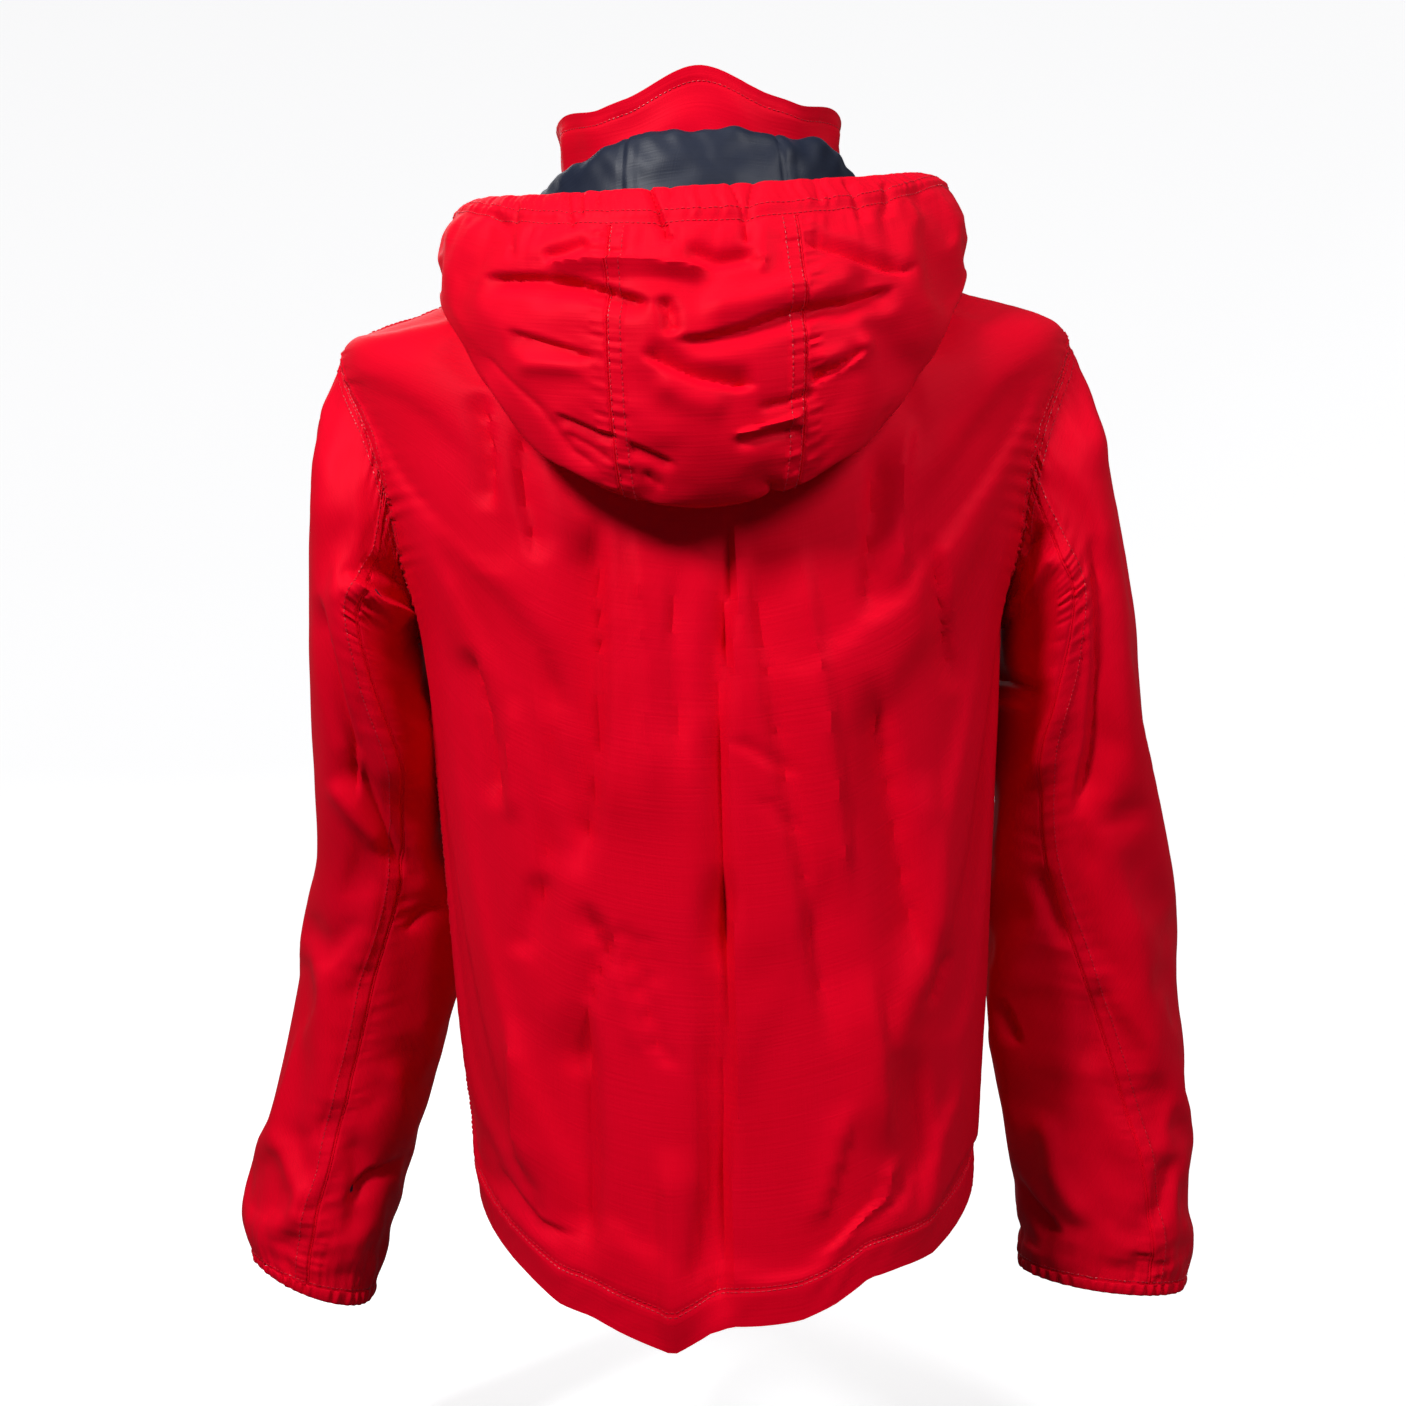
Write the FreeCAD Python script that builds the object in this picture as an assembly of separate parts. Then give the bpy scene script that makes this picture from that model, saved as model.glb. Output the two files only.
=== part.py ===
import FreeCAD, Part

# A hooded foul weather jacket, zipped shut and filled out as it is when worn.
# Millimetres.  +Z is up, the wearer faces -Y, and the wearer's left is +X.
# The origin is the centre of the neck opening, level with the collar seam at the side of the neck.
# Every cloth piece is a thin curved solid: a patch between an outer surface and the same surface
# pushed inwards by the cloth's thickness.

import math
import os

V = FreeCAD.Vector
FORWARD = 1                       # makeRuledSurface joins the two edges start to start

# ---------------------------------------------------------------- driving dimensions
SHELL = (0.0, 2.0)                # depth range of the red shell below the outer surface
LINING = (3.6, 4.8)               # depth range of the navy lining
CUFF = (-0.8, 1.6)                # the gathered cuff stands a little proud of the sleeve
ELASTIC = (1.9, 3.1)
SEAM_HALF = 0.3                   # half the gap left along a body seam, in degrees round the body
SLEEVE_SEAM_HALF = 0.6            # the same round a sleeve
RING_GAP = 0.3                    # the same between the two halves of a ring
LINING_SEAM_HALF = 0.9            # the same for the lining, whose edges lean towards each other
TORSO_POWER = 2.35                # 2 is an ellipse, more is squarer
ZIP_HALF = 9.0                    # from the front's centre line to each folded front edge

# level: half width, back depth, front depth, side height, back height, front height, squareness
BODY = [
    (80, 74, 76, 2, 4, -28, 2.0),
    (122, 96, 88, -14, -22, -55, 2.05),
    (180, 117, 106, -35, -64, -92, 2.1),
    (231, 131, 122, -58, -112, -136, 2.15),
    (224, 139, 132, -115, -160, -179, 2.2),
    (205, 142, 137, -180, -212, -225, 2.3),
    (186, 142, 137, -238, -262, -270, TORSO_POWER),
    (179, 139, 137, -312, -325, -330, TORSO_POWER),
    (173, 137, 137, -400, -408, -410, TORSO_POWER),
    (168, 138, 137, -476, -496, -494, TORSO_POWER),
    (162, 141, 137, -542, -584, -576, TORSO_POWER),
    (158, 144, 137, -594, -655, -640, TORSO_POWER),
]
TIP_LEVEL = 3.0                   # where the shoulder seam meets the armhole
UNDERARM_LEVEL = 6.05             # where the armhole meets the side seam
HEM_LEVEL = 11.0
ARMHOLE_ANGLE = 17.5              # half the armhole's width, in degrees round the body
HEM_FACING_LEVEL = 10.62

COLLAR = [
    (80, 74, 76, 3, 5, -27, 2.0),
    (88, 82, 81, 42, 50, 13, 2.0),
    (92, 85, 85, 82, 94, 54, 2.0),
]
COLLAR_TOP = 2.0

# sleeve section: inner edge x, z; outer edge x, z; centre y; half depth; dish
LEFT_SLEEVE = [
    (193, -239, 239, -60, 0, 60, 14),
    (193, -243, 249, -95, -2, 68, 7),
    (192, -249, 256, -140, -6, 73, 3),
    (190, -257, 260, -195, -12, 76, 0),
    (187, -280, 263, -258, -20, 76, 0),
    (180, -334, 266, -327, -34, 70, 0),
    (176, -396, 272, -392, -48, 60, 0),
    (174, -455, 286, -455, -54, 51, 0),
    (190, -515, 301, -522, -54, 45, 0),
    (210, -580, 315, -580, -48, 42, 0),
    (226, -640, 324, -624, -42, 41, 0),
    (241, -684, 315, -650, -38, 38, 0),
]
RIGHT_SLEEVE = [
    (193, -239, 239, -60, 0, 60, 14),
    (193, -243, 251, -95, -2, 68, 7),
    (192, -249, 259, -140, -6, 73, 3),
    (191, -257, 267, -195, -10, 75, 0),
    (190, -280, 276, -258, -16, 74, 0),
    (186, -334, 287, -327, -24, 69, 0),
    (180, -396, 298, -390, -32, 60, 0),
    (177, -455, 306, -453, -38, 51, 0),
    (179, -515, 311, -520, -40, 45, 0),
    (190, -580, 312, -582, -38, 42, 0),
    (194, -638, 311, -650, -36, 41, 0),
    (196, -672, 303, -687, -34, 38, 0),
]
SLEEVE_END = 11.0
CUFF_START = 10.8
# sleeve seams, degrees round the section from its outer edge; the back seam's at each level
LEFT_BACK_SEAM = [104, 108, 106, 102, 108, 118, 114, 100, 96, 96, 96, 96]
RIGHT_BACK_SEAM = [101, 103, 102, 102, 109, 119, 117, 104, 89, 76, 69, 66]
FRONT_SEAM = 228

# hood station: angle from the back's centre; edge radius, z; bulge radius; bottom radius, z; split radius, z
HOOD = [
    (0, 172, -4, 193, 166, -181, 124, -55),
    (30, 166, 1, 193, 178, -149, 132, -40),
    (60, 156, 10, 191, 181, -48, 138, -8),
    (90, 148, 19, 162, 153, -5, 120, 7),
    (120, 120, 25, 129, 120, -9, 104, 6),
]
HOOD_END = 120.0
HOOD_SEAM = 16.5                  # half the centre panel, degrees round the neck
HOOD_SEAM_HALF = 0.1
CASING_SHARE = 0.09               # the gathered casing's share of the way round the bag
HOOD_LIFT = 5.0                   # the hood's right side rides this much higher than its left
# neck wall station: angle; crest radius, z; foot radius, z
NECK_WALL = [
    (0, 99, 51, 115, -30),
    (30, 99, 49, 115, -20),
    (60, 99, 44, 113, -6),
    (90, 98, 33, 109, 3),
    (120, 95, 11, 102, -6),
]

POCKET_X = (34.0, 126.0)
POCKET_Z = (-598.0, -436.0)
POCKET_DEPTH = 15.0
POCKET_WALL = 2.4
FLAP_X = (30.0, 130.0)
FLAP_TOP = -424.0
FLAP_DROP = 58.0
FLAP_LIFT = (16.4, 18.6)          # the flap's faces stand this far off the front panel
SNAP_RADIUS = 7.0

ZIP_DEPTH = 3.9                   # the chain's middle lies this far behind the shell's outer face
CHAIN_LEVELS = (1.93, 10.86)      # collar level at the chain's top, body level at its bottom
CHAIN_X = (1.0, 3.6)
CHAIN_HALF = 1.5
TAPE_X = (3.9, 13.0)
TAPE_HALF = 0.5
SLIDER = (11.0, 15.0, 8.4)        # width, height, thickness
SLIDER_PLATE = 1.4
SLIDER_WEB = 1.2
TOP_SLIDER_SHARE = 1.86           # collar level at which the top slider rests
BOTTOM_SLIDER_Z = -622.0
BRIDGE = (2.4, 10.0, 3.4)         # the arch on a slider: width, length, height
BRIDGE_WINDOW = (7.6, 2.2)        # the gap under it: length, height
PULL_PIN = 1.1                    # the pull's pin lies this far in front of the slider's face
PULL_LENGTH = 32.0


# ---------------------------------------------------------------- curves through a table
def table_value(rows, level, column):
    """Smooth value of one column of a table at a fractional row number."""
    last = len(rows) - 1
    level = min(max(level, 0.0), float(last))
    i = min(int(level), last - 1)
    t = level - i
    a = rows[i][column]
    b = rows[i + 1][column]
    before = rows[i - 1][column] if i > 0 else 2 * a - b
    after = rows[i + 2][column] if i + 2 <= last else 2 * b - a
    slope_a = (b - before) / 2
    slope_b = (after - a) / 2
    return (
        a * (2 * t ** 3 - 3 * t ** 2 + 1)
        + slope_a * (t ** 3 - 2 * t ** 2 + t)
        + b * (3 * t ** 2 - 2 * t ** 3)
        + slope_b * (t ** 3 - t ** 2)
    )


def table_row(rows, level):
    return [table_value(rows, level, c) for c in range(len(rows[0]))]


def spread(first, last, count):
    return [first + (last - first) * i / (count - 1) for i in range(count)]


# ---------------------------------------------------------------- surfaces
def ring_point(row, degrees):
    """A point of a horizontal-ish ring: a superellipse whose height changes from side to front or back."""
    width, back, front, side_z, back_z, front_z, power = row
    c = math.cos(math.radians(degrees))
    s = math.sin(math.radians(degrees))
    depth = back if s > 0 else front
    end_z = back_z if s > 0 else front_z
    r = ((abs(c) / width) ** power + (abs(s) / depth) ** power) ** (-1 / power)
    x = r * c
    y = r * s
    across = (x / width) ** 2
    along = (y / depth) ** 2
    share = along / (across + along)
    return V(x, y, side_z + (end_z - side_z) * share)


def body_point(level, degrees):
    return ring_point(table_row(BODY, level), degrees)


def collar_point(level, degrees):
    return ring_point(table_row(COLLAR, level), degrees)


def angle_at_x(point, level, x, front=True):
    """The angle at which a ring crosses a given x, on the wearer's front or back."""
    low, high = (-90.0, 0.0) if front else (90.0, 0.0)
    for _ in range(40):
        middle = (low + high) / 2
        if point(level, middle).x < abs(x):
            low = middle
        else:
            high = middle
    angle = (low + high) / 2
    if x < 0:
        angle = 180 - angle
    return angle


def armhole(level):
    """Half the armhole's angle at a level: nothing above the shoulder tip or below the underarm."""
    share = (level - TIP_LEVEL) / (UNDERARM_LEVEL - TIP_LEVEL)
    if share <= 0 or share >= 1:
        return 0.0
    return ARMHOLE_ANGLE * math.sin(math.pi * share) ** 0.7


def sleeve_point(rows, side):
    def point(level, degrees):
        inner_x, inner_z, outer_x, outer_z, mid_y, depth, dish = table_row(rows, level)
        c = math.cos(math.radians(degrees))
        s = math.sin(math.radians(degrees))
        x = (inner_x + outer_x) / 2 + c * (outer_x - inner_x) / 2 - dish * s * s
        z = (inner_z + outer_z) / 2 + c * (outer_z - inner_z) / 2
        return V(side * x, mid_y + s * depth, z)

    return point


def hood_station(rows, degrees):
    """The table's row at an angle from the back's centre, by the table's own angles."""
    step = rows[1][0] - rows[0][0]
    mirrored = [(-rows[1][0], *rows[1][1:])] + list(rows)
    return table_row(mirrored, abs(degrees) / step + 1)


def smooth_curve(points, t):
    """A point at share t along a smooth curve through points given as (radius, z)."""
    return table_row(points, t * (len(points) - 1))


def hood_point(t, degrees):
    """The hood bag: t runs from the gathered edge, down and round the bottom, up to the neck side."""
    _, edge_r, edge_z, bulge, low_r, low_z, split_r, split_z = hood_station(HOOD, degrees)
    drop = edge_z - low_z
    profile = [
        (edge_r, edge_z),
        (edge_r + 0.75 * (bulge - edge_r), edge_z - 0.22 * drop),
        (bulge, edge_z - 0.52 * drop),
        (0.7 * bulge + 0.3 * low_r, edge_z - 0.83 * drop),
        (low_r, low_z),
        (0.62 * low_r + 0.38 * split_r, low_z + 0.23 * (split_z - low_z)),
        (0.3 * low_r + 0.7 * split_r, low_z + 0.63 * (split_z - low_z)),
        (split_r, split_z),
    ]
    r, z = smooth_curve(profile, t)
    a = math.radians(90 + degrees)
    return V(r * math.cos(a), r * math.sin(a), z - HOOD_LIFT * math.cos(a) * min(r, 150) / 150)


def neck_wall_point(t, degrees):
    """The cloth that rises from the neck seam beside the collar, crests and turns down behind it."""
    _, crest_r, crest_z, foot_r, foot_z = hood_station(NECK_WALL, degrees)
    a = math.radians(90 + degrees)
    seam = collar_point(0, 90 + degrees)
    seam_r = math.hypot(seam.x, seam.y) + 4
    seam_z = seam.z + 4
    rise = crest_z - seam_z
    drop = crest_z - foot_z
    profile = [
        (seam_r, seam_z),
        (seam_r + 2.5, seam_z + 0.5 * rise),
        (0.45 * seam_r + 0.55 * crest_r, crest_z - 0.14 * rise),
        (crest_r, crest_z),
        (0.55 * crest_r + 0.45 * foot_r, crest_z - 0.1 * drop),
        (0.2 * crest_r + 0.8 * foot_r, crest_z - 0.45 * drop),
        (foot_r, foot_z),
    ]
    r, z = smooth_curve(profile, t)
    return V(r * math.cos(a), r * math.sin(a), z - HOOD_LIFT * math.cos(a) * min(r, 150) / 150)


# ---------------------------------------------------------------- solids from surfaces
def pushed(point, u, v, depth, du=0.02, dv=0.4):
    """The surface point at (u, v), moved by depth against the normal du x dv."""
    here = point(u, v)
    along_u = point(u + du, v) - point(u - du, v)
    along_v = point(u, v + dv) - point(u, v - dv)
    normal = along_u.cross(along_v)
    normal.normalize()
    return here - normal * depth


def surface_through(grid):
    surface = Part.BSplineSurface()
    surface.interpolate(grid)
    return surface


def solid_between(outer, inner):
    """A closed solid between two grids of points of the same size."""
    a = surface_through(outer)
    b = surface_through(inner)
    faces = [a.toShape(), b.toShape()]
    for get, at in (("uIso", 0), ("uIso", 1), ("vIso", 2), ("vIso", 3)):
        edge_a = getattr(a, get)(a.bounds()[at]).toShape()
        edge_b = getattr(b, get)(b.bounds()[at]).toShape()
        faces.append(Part.makeRuledSurface(edge_a, edge_b, FORWARD))
    shell = Part.makeShell(faces)
    shell.sewShape(1e-4)
    if shell.ShapeType != "Shell":
        shell = shell.Shells[0]
    solid = Part.makeSolid(shell)
    if solid.Volume < 0:
        solid.reverse()
    if not solid.isValid():
        solid.fix(1e-4, 1e-4, 1e-3)
    return solid


def patch(point, us, left, right, depths, columns=15):
    """A cloth solid over rows us, each from angle left(u) to right(u), between two depths."""
    grids = []
    for depth in depths:
        grid = []
        for u in us:
            grid.append([pushed(point, u, v, depth) for v in spread(left(u), right(u), columns)])
        grids.append(grid)
    return solid_between(*grids)


def fixed(angle):
    return lambda _u: angle


def front_edge(point, x):
    return lambda u: angle_at_x(point, u, x)


def flipped(depths):
    """The same depth range for a surface whose normal du x dv points into the garment."""
    return (-depths[0], -depths[1])


def save(name, shape):
    assert shape.isValid(), name
    assert shape.Volume > 0, name
    shape.exportStep(os.path.join("parts", name + ".step"))
    print(f"{name:26s} {len(shape.Solids):3d} solids {shape.Volume / 1000:9.2f} cm3")


# ---------------------------------------------------------------- the body
# Levels run downwards and angles anticlockwise, so du x dv points out of the garment.
def body_patch(levels, left, right, depths, columns=15):
    return patch(body_point, levels, left, right, depths, columns)


def back_panel(depths, gap, first=0.0, last=HEM_LEVEL):
    levels = spread(first, last, 34)
    return body_patch(levels, lambda u: armhole(u) + gap, lambda u: 180 - armhole(u) - gap, depths, 19)


def front_panel(side, depths, gap, edge, first=0.0, last=HEM_LEVEL):
    levels = spread(first, last, 34)
    middle = front_edge(body_point, side * edge)
    if side > 0:
        return body_patch(levels, middle, lambda u: -armhole(u) - gap, depths, 15)
    return body_patch(levels, lambda u: 180 + armhole(u) + gap, middle, depths, 15)


def hem_facing():
    levels = spread(HEM_FACING_LEVEL, HEM_LEVEL, 5)
    left = front_edge(body_point, 18)
    return body_patch(levels, left, lambda u: 180 - left(u), (2.2, 3.4), 41)


def storm_guard():
    levels = spread(0.05, 10.95, 30)
    right = front_edge(body_point, 27)
    left = front_edge(body_point, -27)
    return body_patch(levels, lambda u: left(u) - 360, right, (8.8, 10.0), 9)


def hanger_loop():
    """A folded strip that stands off the collar's foot inside the back of the neck."""
    half = 24.0
    outer = [V(-half, 66, -12), V(0, 56, -17), V(half, 66, -12)]
    path = Part.BSplineCurve()
    path.interpolate(outer)
    strip = path.toShape().extrude(V(0, 0, 6))
    return strip.extrude(V(0, -1.2, 0))


def neck_label():
    return body_patch(spread(0.9, 1.35, 4), fixed(80), fixed(100), (5.6, 6.2), 5)


# ---------------------------------------------------------------- the collar
def collar(depths, edge, top=COLLAR_TOP):
    left = front_edge(collar_point, edge)
    levels = spread(0.02, top, 9)
    return patch(collar_point, levels, left, lambda u: 180 - left(u), flipped(depths), 45)


# ---------------------------------------------------------------- sleeves
def sleeve_piece(rows, side, first, last, start, end, depths, columns=15, count=30):
    point = sleeve_point(rows, side)
    depths = depths if side > 0 else flipped(depths)
    return patch(point, spread(first, last, count), start, end, depths, columns)


def sleeve_ring(rows, side, first, last, depths, count=4):
    """A ring of cloth, as two half rings that meet at the sleeve's edges."""
    halves = []
    for start in (RING_GAP, 180 + RING_GAP):
        end = start + 180 - 2 * RING_GAP
        halves.append(sleeve_piece(rows, side, first, last, fixed(start), fixed(end), depths, 15, count))
    return Part.makeCompound(halves)


def sleeve(name, rows, side, seam):
    def back_seam(gap):
        return lambda u: table_value([(angle,) for angle in seam], u, 0) + gap

    upper = (fixed(FRONT_SEAM - 360 + SLEEVE_SEAM_HALF), back_seam(-SLEEVE_SEAM_HALF))
    under = (back_seam(SLEEVE_SEAM_HALF), fixed(FRONT_SEAM - SLEEVE_SEAM_HALF))
    save(f"upper_sleeve_{name}", sleeve_piece(rows, side, 0, CUFF_START - 0.02, *upper, SHELL, 19))
    save(f"under_sleeve_{name}", sleeve_piece(rows, side, 0, CUFF_START - 0.02, *under, SHELL))
    save(f"cuff_band_{name}", sleeve_ring(rows, side, CUFF_START, SLEEVE_END, CUFF))
    save(f"cuff_elastic_{name}", sleeve_ring(rows, side, CUFF_START + 0.03, SLEEVE_END - 0.03, ELASTIC))
    save(f"sleeve_lining_{name}", sleeve_ring(rows, side, 0.15, SLEEVE_END - 0.06, LINING, 26))


# ---------------------------------------------------------------- the hood
# On the bag the normal dt x dangle points out of the bag.
def hood_patch(first, last, start, end, depths, rows=20, columns=15):
    return patch(hood_point, spread(first, last, rows), fixed(start), fixed(end), depths, columns)


def hood_pieces():
    seam = HOOD_SEAM + HOOD_SEAM_HALF
    side_ranges = {"left": (-HOOD_END, -seam), "right": (seam, HOOD_END)}
    save("hood_center_panel", hood_patch(CASING_SHARE, 1, -HOOD_SEAM, HOOD_SEAM, SHELL, 24, 7))
    for name, (start, end) in side_ranges.items():
        save(f"hood_side_{name}", hood_patch(CASING_SHARE, 1, start, end, SHELL, 24, 25))
    save("hood_edge_casing", hood_patch(0, CASING_SHARE - 0.004, -HOOD_END, HOOD_END, (-0.6, 1.2), 4, 45))
    save("hood_elastic", hood_patch(0.012, CASING_SHARE - 0.016, -HOOD_END + 1, HOOD_END - 1, (1.5, 2.7), 3, 45))
    save("hood_lining", hood_patch(0.01, 0.99, -HOOD_END + 0.5, HOOD_END - 0.5, (3.2, 4.4), 24, 51))
    wall = patch(neck_wall_point, spread(0, 1, 17), fixed(-HOOD_END), fixed(HOOD_END), (0.0, 1.8), 45)
    save("hood_neck_wall", wall)


# ---------------------------------------------------------------- the front zip
def front_path(top, bottom, count=40):
    """Points down the front's centre line, from a collar level to a body level."""
    up = [collar_point(level, -90) for level in spread(top, 0.1, 9)]
    down = [body_point(level, -90) for level in spread(0.05, bottom, count)]
    return up + down


def zip_strip(path, x_range, middle, half):
    """A strip beside the centre line: it runs the path's length, x_range wide, 2 * half thick."""
    grids = []
    for depth in (middle - half, middle + half):
        grid = []
        for i, p in enumerate(path):
            a = path[max(i - 1, 0)]
            b = path[min(i + 1, len(path) - 1)]
            down = (b - a).normalize()
            inward = V(0, -down.z, down.y)
            grid.append([V(x, p.y, p.z) + inward * depth for x in x_range])
        grids.append(grid)
    return solid_between(*grids)


def zipper():
    chain_path = front_path(CHAIN_LEVELS[0], CHAIN_LEVELS[1])
    tape_path = front_path(COLLAR_TOP, HEM_LEVEL)
    for name, side in (("left", 1), ("right", -1)):
        chain_x = [side * x for x in spread(*CHAIN_X, 3)]
        tape_x = [side * x for x in spread(*TAPE_X, 4)]
        save(f"zipper_chain_{name}", zip_strip(chain_path, chain_x, ZIP_DEPTH, CHAIN_HALF))
        save(f"zipper_tape_{name}", zip_strip(tape_path, tape_x, ZIP_DEPTH, TAPE_HALF))


def rounded_box(width, height, thickness, radius):
    """A box centred on the origin: width along X, thickness along Y, height along Z."""
    box = Part.makeBox(width, thickness, height, V(-width / 2, -thickness / 2, -height / 2))
    upright = [e for e in box.Edges if abs(e.tangentAt(e.FirstParameter).y) > 0.9]
    return box.makeFillet(radius, upright)


def slider_body():
    """Two plates round the chain, a web between its rows, and an arch on the front for the pull."""
    width, height, thickness = SLIDER
    cavity = thickness - 2 * SLIDER_PLATE
    body = rounded_box(width, height, thickness, 2.2)
    for side in (1, -1):
        x = side * (SLIDER_WEB / 2 + width / 2)
        body = body.cut(Part.makeBox(width, cavity, height + 2, V(x - width / 2, -cavity / 2, -height / 2 - 1)))
    face = -thickness / 2
    arch = Part.makeBox(BRIDGE[0], BRIDGE[2], BRIDGE[1], V(-BRIDGE[0] / 2, face - BRIDGE[2], -BRIDGE[1] / 2))
    long, high = BRIDGE_WINDOW
    window = Part.makeBox(BRIDGE[0] + 2, high, long, V(-BRIDGE[0] / 2 - 1, face - high, -long / 2))
    return body.fuse(arch).cut(window).removeSplitter()


def pull_tab():
    """A tab hanging along -Z from a pin on the origin's X axis, with an arm down each side of the arch."""
    pin = Part.makeCylinder(0.75, 6.0, V(-3, 0, 0), V(1, 0, 0))
    plate = rounded_box(7.6, PULL_LENGTH - 6.5, 1.5, 2.6).translated(V(0, 0, -(PULL_LENGTH + 6.5) / 2))
    grip = rounded_box(5.0, 12.0, 2.4, 2.2).translated(V(0, 0, -PULL_LENGTH + 8.5))
    tab = pin.fuse([plate, grip])
    for side in (1, -1):
        arm = Part.makeBox(1.1, 1.5, 8.0, V(side * 2.45 - 0.55, -0.75, -8.0))
        tab = tab.fuse(arm)
    return tab.removeSplitter()


def placed(shape, at, down):
    """A shape modelled with its length along Z, turned so that -Z runs along down in the YZ plane."""
    turn = FreeCAD.Rotation(V(0, 0, -1), down)
    return shape.transformed(FreeCAD.Placement(at, turn).toMatrix())


def slider_set(name, point, down):
    """A slider on the chain beside the surface point, and the pull tab that hangs straight down from it."""
    inward = V(0, -down.z, down.y)
    centre = point + inward * ZIP_DEPTH
    save(f"{name}_slider", placed(slider_body(), centre, down))
    pin = centre - inward * (SLIDER[2] / 2 + PULL_PIN)
    save(f"{name}_pull_tab", pull_tab().translated(pin))
    print(name, "slider runs along", [round(c, 4) for c in down], "pin at", [round(c, 3) for c in pin])


def zip_hardware():
    rest = collar_point(TOP_SLIDER_SHARE, -90)
    down = (collar_point(0.3, -90) - rest).normalize()
    slider_set("top", rest, down)
    slider_set("bottom", V(0, -BODY[-1][2], BOTTOM_SLIDER_Z), V(0, 0, -1))
    inward = V(0, -down.z, down.y)
    stop_at = collar_point(COLLAR_TOP, -90) + inward * ZIP_DEPTH + down * 1.2
    stops = []
    for side in (1, -1):
        stop = rounded_box(2.6, 2.0, 4.2, 0.8)
        stops.append(placed(stop, stop_at + V(side * 2.3, 0, 0), down))
    save("zipper_top_stops", Part.makeCompound(stops))
    box = rounded_box(7.4, 7.0, 6.0, 1.2)
    low = body_point(HEM_LEVEL, -90)
    save("zipper_retainer_box", box.translated(V(0, low.y + ZIP_DEPTH, low.z + 3.5)))


# ---------------------------------------------------------------- pockets
def front_level(z):
    """The body level at which the front's centre line is at height z."""
    low, high = 5.0, HEM_LEVEL
    for _ in range(40):
        middle = (low + high) / 2
        if table_value(BODY, middle, 5) > z:
            low = middle
        else:
            high = middle
    return low


def front_block(x_range, z_range, lifts, side, columns=9, rows=9):
    """A block on the front panel between two stand-off distances."""
    levels = [front_level(z) for z in spread(z_range[1], z_range[0], rows)]
    grids = []
    for lift in lifts:
        grid = []
        for level in levels:
            row = []
            for x in spread(*x_range, columns):
                row.append(pushed(body_point, level, angle_at_x(body_point, level, side * x), -lift))
            grid.append(row)
        grids.append(grid)
    return solid_between(*grids)


def pocket(side):
    """A bellows pocket: a front sheet and three side walls, open at the top, sewn to the front panel."""
    inside_x = (POCKET_X[0] + POCKET_WALL, POCKET_X[1] - POCKET_WALL)
    inside_z = (POCKET_Z[0] + POCKET_WALL, POCKET_Z[1] + 6)
    block = front_block(POCKET_X, POCKET_Z, (0.3, POCKET_DEPTH), side)
    space = front_block(inside_x, inside_z, (-1.5, POCKET_DEPTH - POCKET_WALL), side)
    return block.cut(space)


def flap_outline(side):
    """A cutter that leaves the flap its cropped lower corners."""
    corner = 16.0
    bottom = FLAP_TOP - FLAP_DROP
    cutters = []
    for x, turn in ((FLAP_X[0], 1), (FLAP_X[1], -1)):
        wire = Part.makePolygon([
            V(side * (x - turn * 4), -200, bottom - 4),
            V(side * (x + turn * corner), -200, bottom - 4),
            V(side * (x + turn * corner), -200, bottom),
            V(side * x, -200, bottom + corner),
            V(side * (x - turn * 4), -200, bottom + corner),
            V(side * (x - turn * 4), -200, bottom - 4),
        ])
        cutters.append(Part.Face(wire).extrude(V(0, 200, 0)))
    return cutters


def pocket_flap(side):
    flap = front_block(FLAP_X, (FLAP_TOP - FLAP_DROP, FLAP_TOP), FLAP_LIFT, side)
    for cutter in flap_outline(side):
        flap = flap.cut(cutter)
    return flap


def on_front(x, z, lift, side):
    level = front_level(z)
    angle = angle_at_x(body_point, level, side * x)
    at = pushed(body_point, level, angle, -lift)
    out = (pushed(body_point, level, angle, -lift - 1) - at).normalize()
    return at, out


def snap(side, lift, radius, thickness):
    at, out = on_front(sum(FLAP_X) / 2, FLAP_TOP - FLAP_DROP + 15, lift, side)
    disc = Part.makeCylinder(radius, thickness, at, out)
    return disc.makeFillet(min(0.35 * thickness, 0.6), [disc.Edges[0]])


def pockets():
    for name, side in (("left", 1), ("right", -1)):
        save(f"pocket_{name}", pocket(side))
        save(f"pocket_flap_{name}", pocket_flap(side))
        save(f"pocket_snap_cap_{name}", snap(side, FLAP_LIFT[1] + 0.15, SNAP_RADIUS, 2.0))
        save(f"pocket_snap_stud_{name}", snap(side, POCKET_DEPTH + 0.1, 4.0, 0.9))
        ends = []
        for x in FLAP_X:
            at, _ = on_front(x, FLAP_TOP, FLAP_LIFT[0], side)
            ends.append([round(c, 2) for c in at])
        print("flap hinge", name, ends)


# ---------------------------------------------------------------- all of it
def main():
    os.makedirs("parts", exist_ok=True)
    save("back_panel", back_panel(SHELL, SEAM_HALF))
    save("back_lining", back_panel(LINING, LINING_SEAM_HALF, 0.1, 10.55))
    for name, side in (("left", 1), ("right", -1)):
        save(f"front_panel_{name}", front_panel(side, SHELL, SEAM_HALF, ZIP_HALF))
        save(f"front_lining_{name}", front_panel(side, LINING, LINING_SEAM_HALF, 29.0, 0.1, 10.55))
    save("hem_facing", hem_facing())
    save("storm_guard", storm_guard())
    save("hanger_loop", hanger_loop())
    save("neck_label", neck_label())
    save("collar_outer", collar(SHELL, ZIP_HALF))
    save("collar_lining", collar((2.6, 4.2), 17.0, 1.93))
    sleeve("left", LEFT_SLEEVE, 1, LEFT_BACK_SEAM)
    sleeve("right", RIGHT_SLEEVE, -1, RIGHT_BACK_SEAM)
    hood_pieces()
    zipper()
    zip_hardware()
    pockets()


main()
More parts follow.
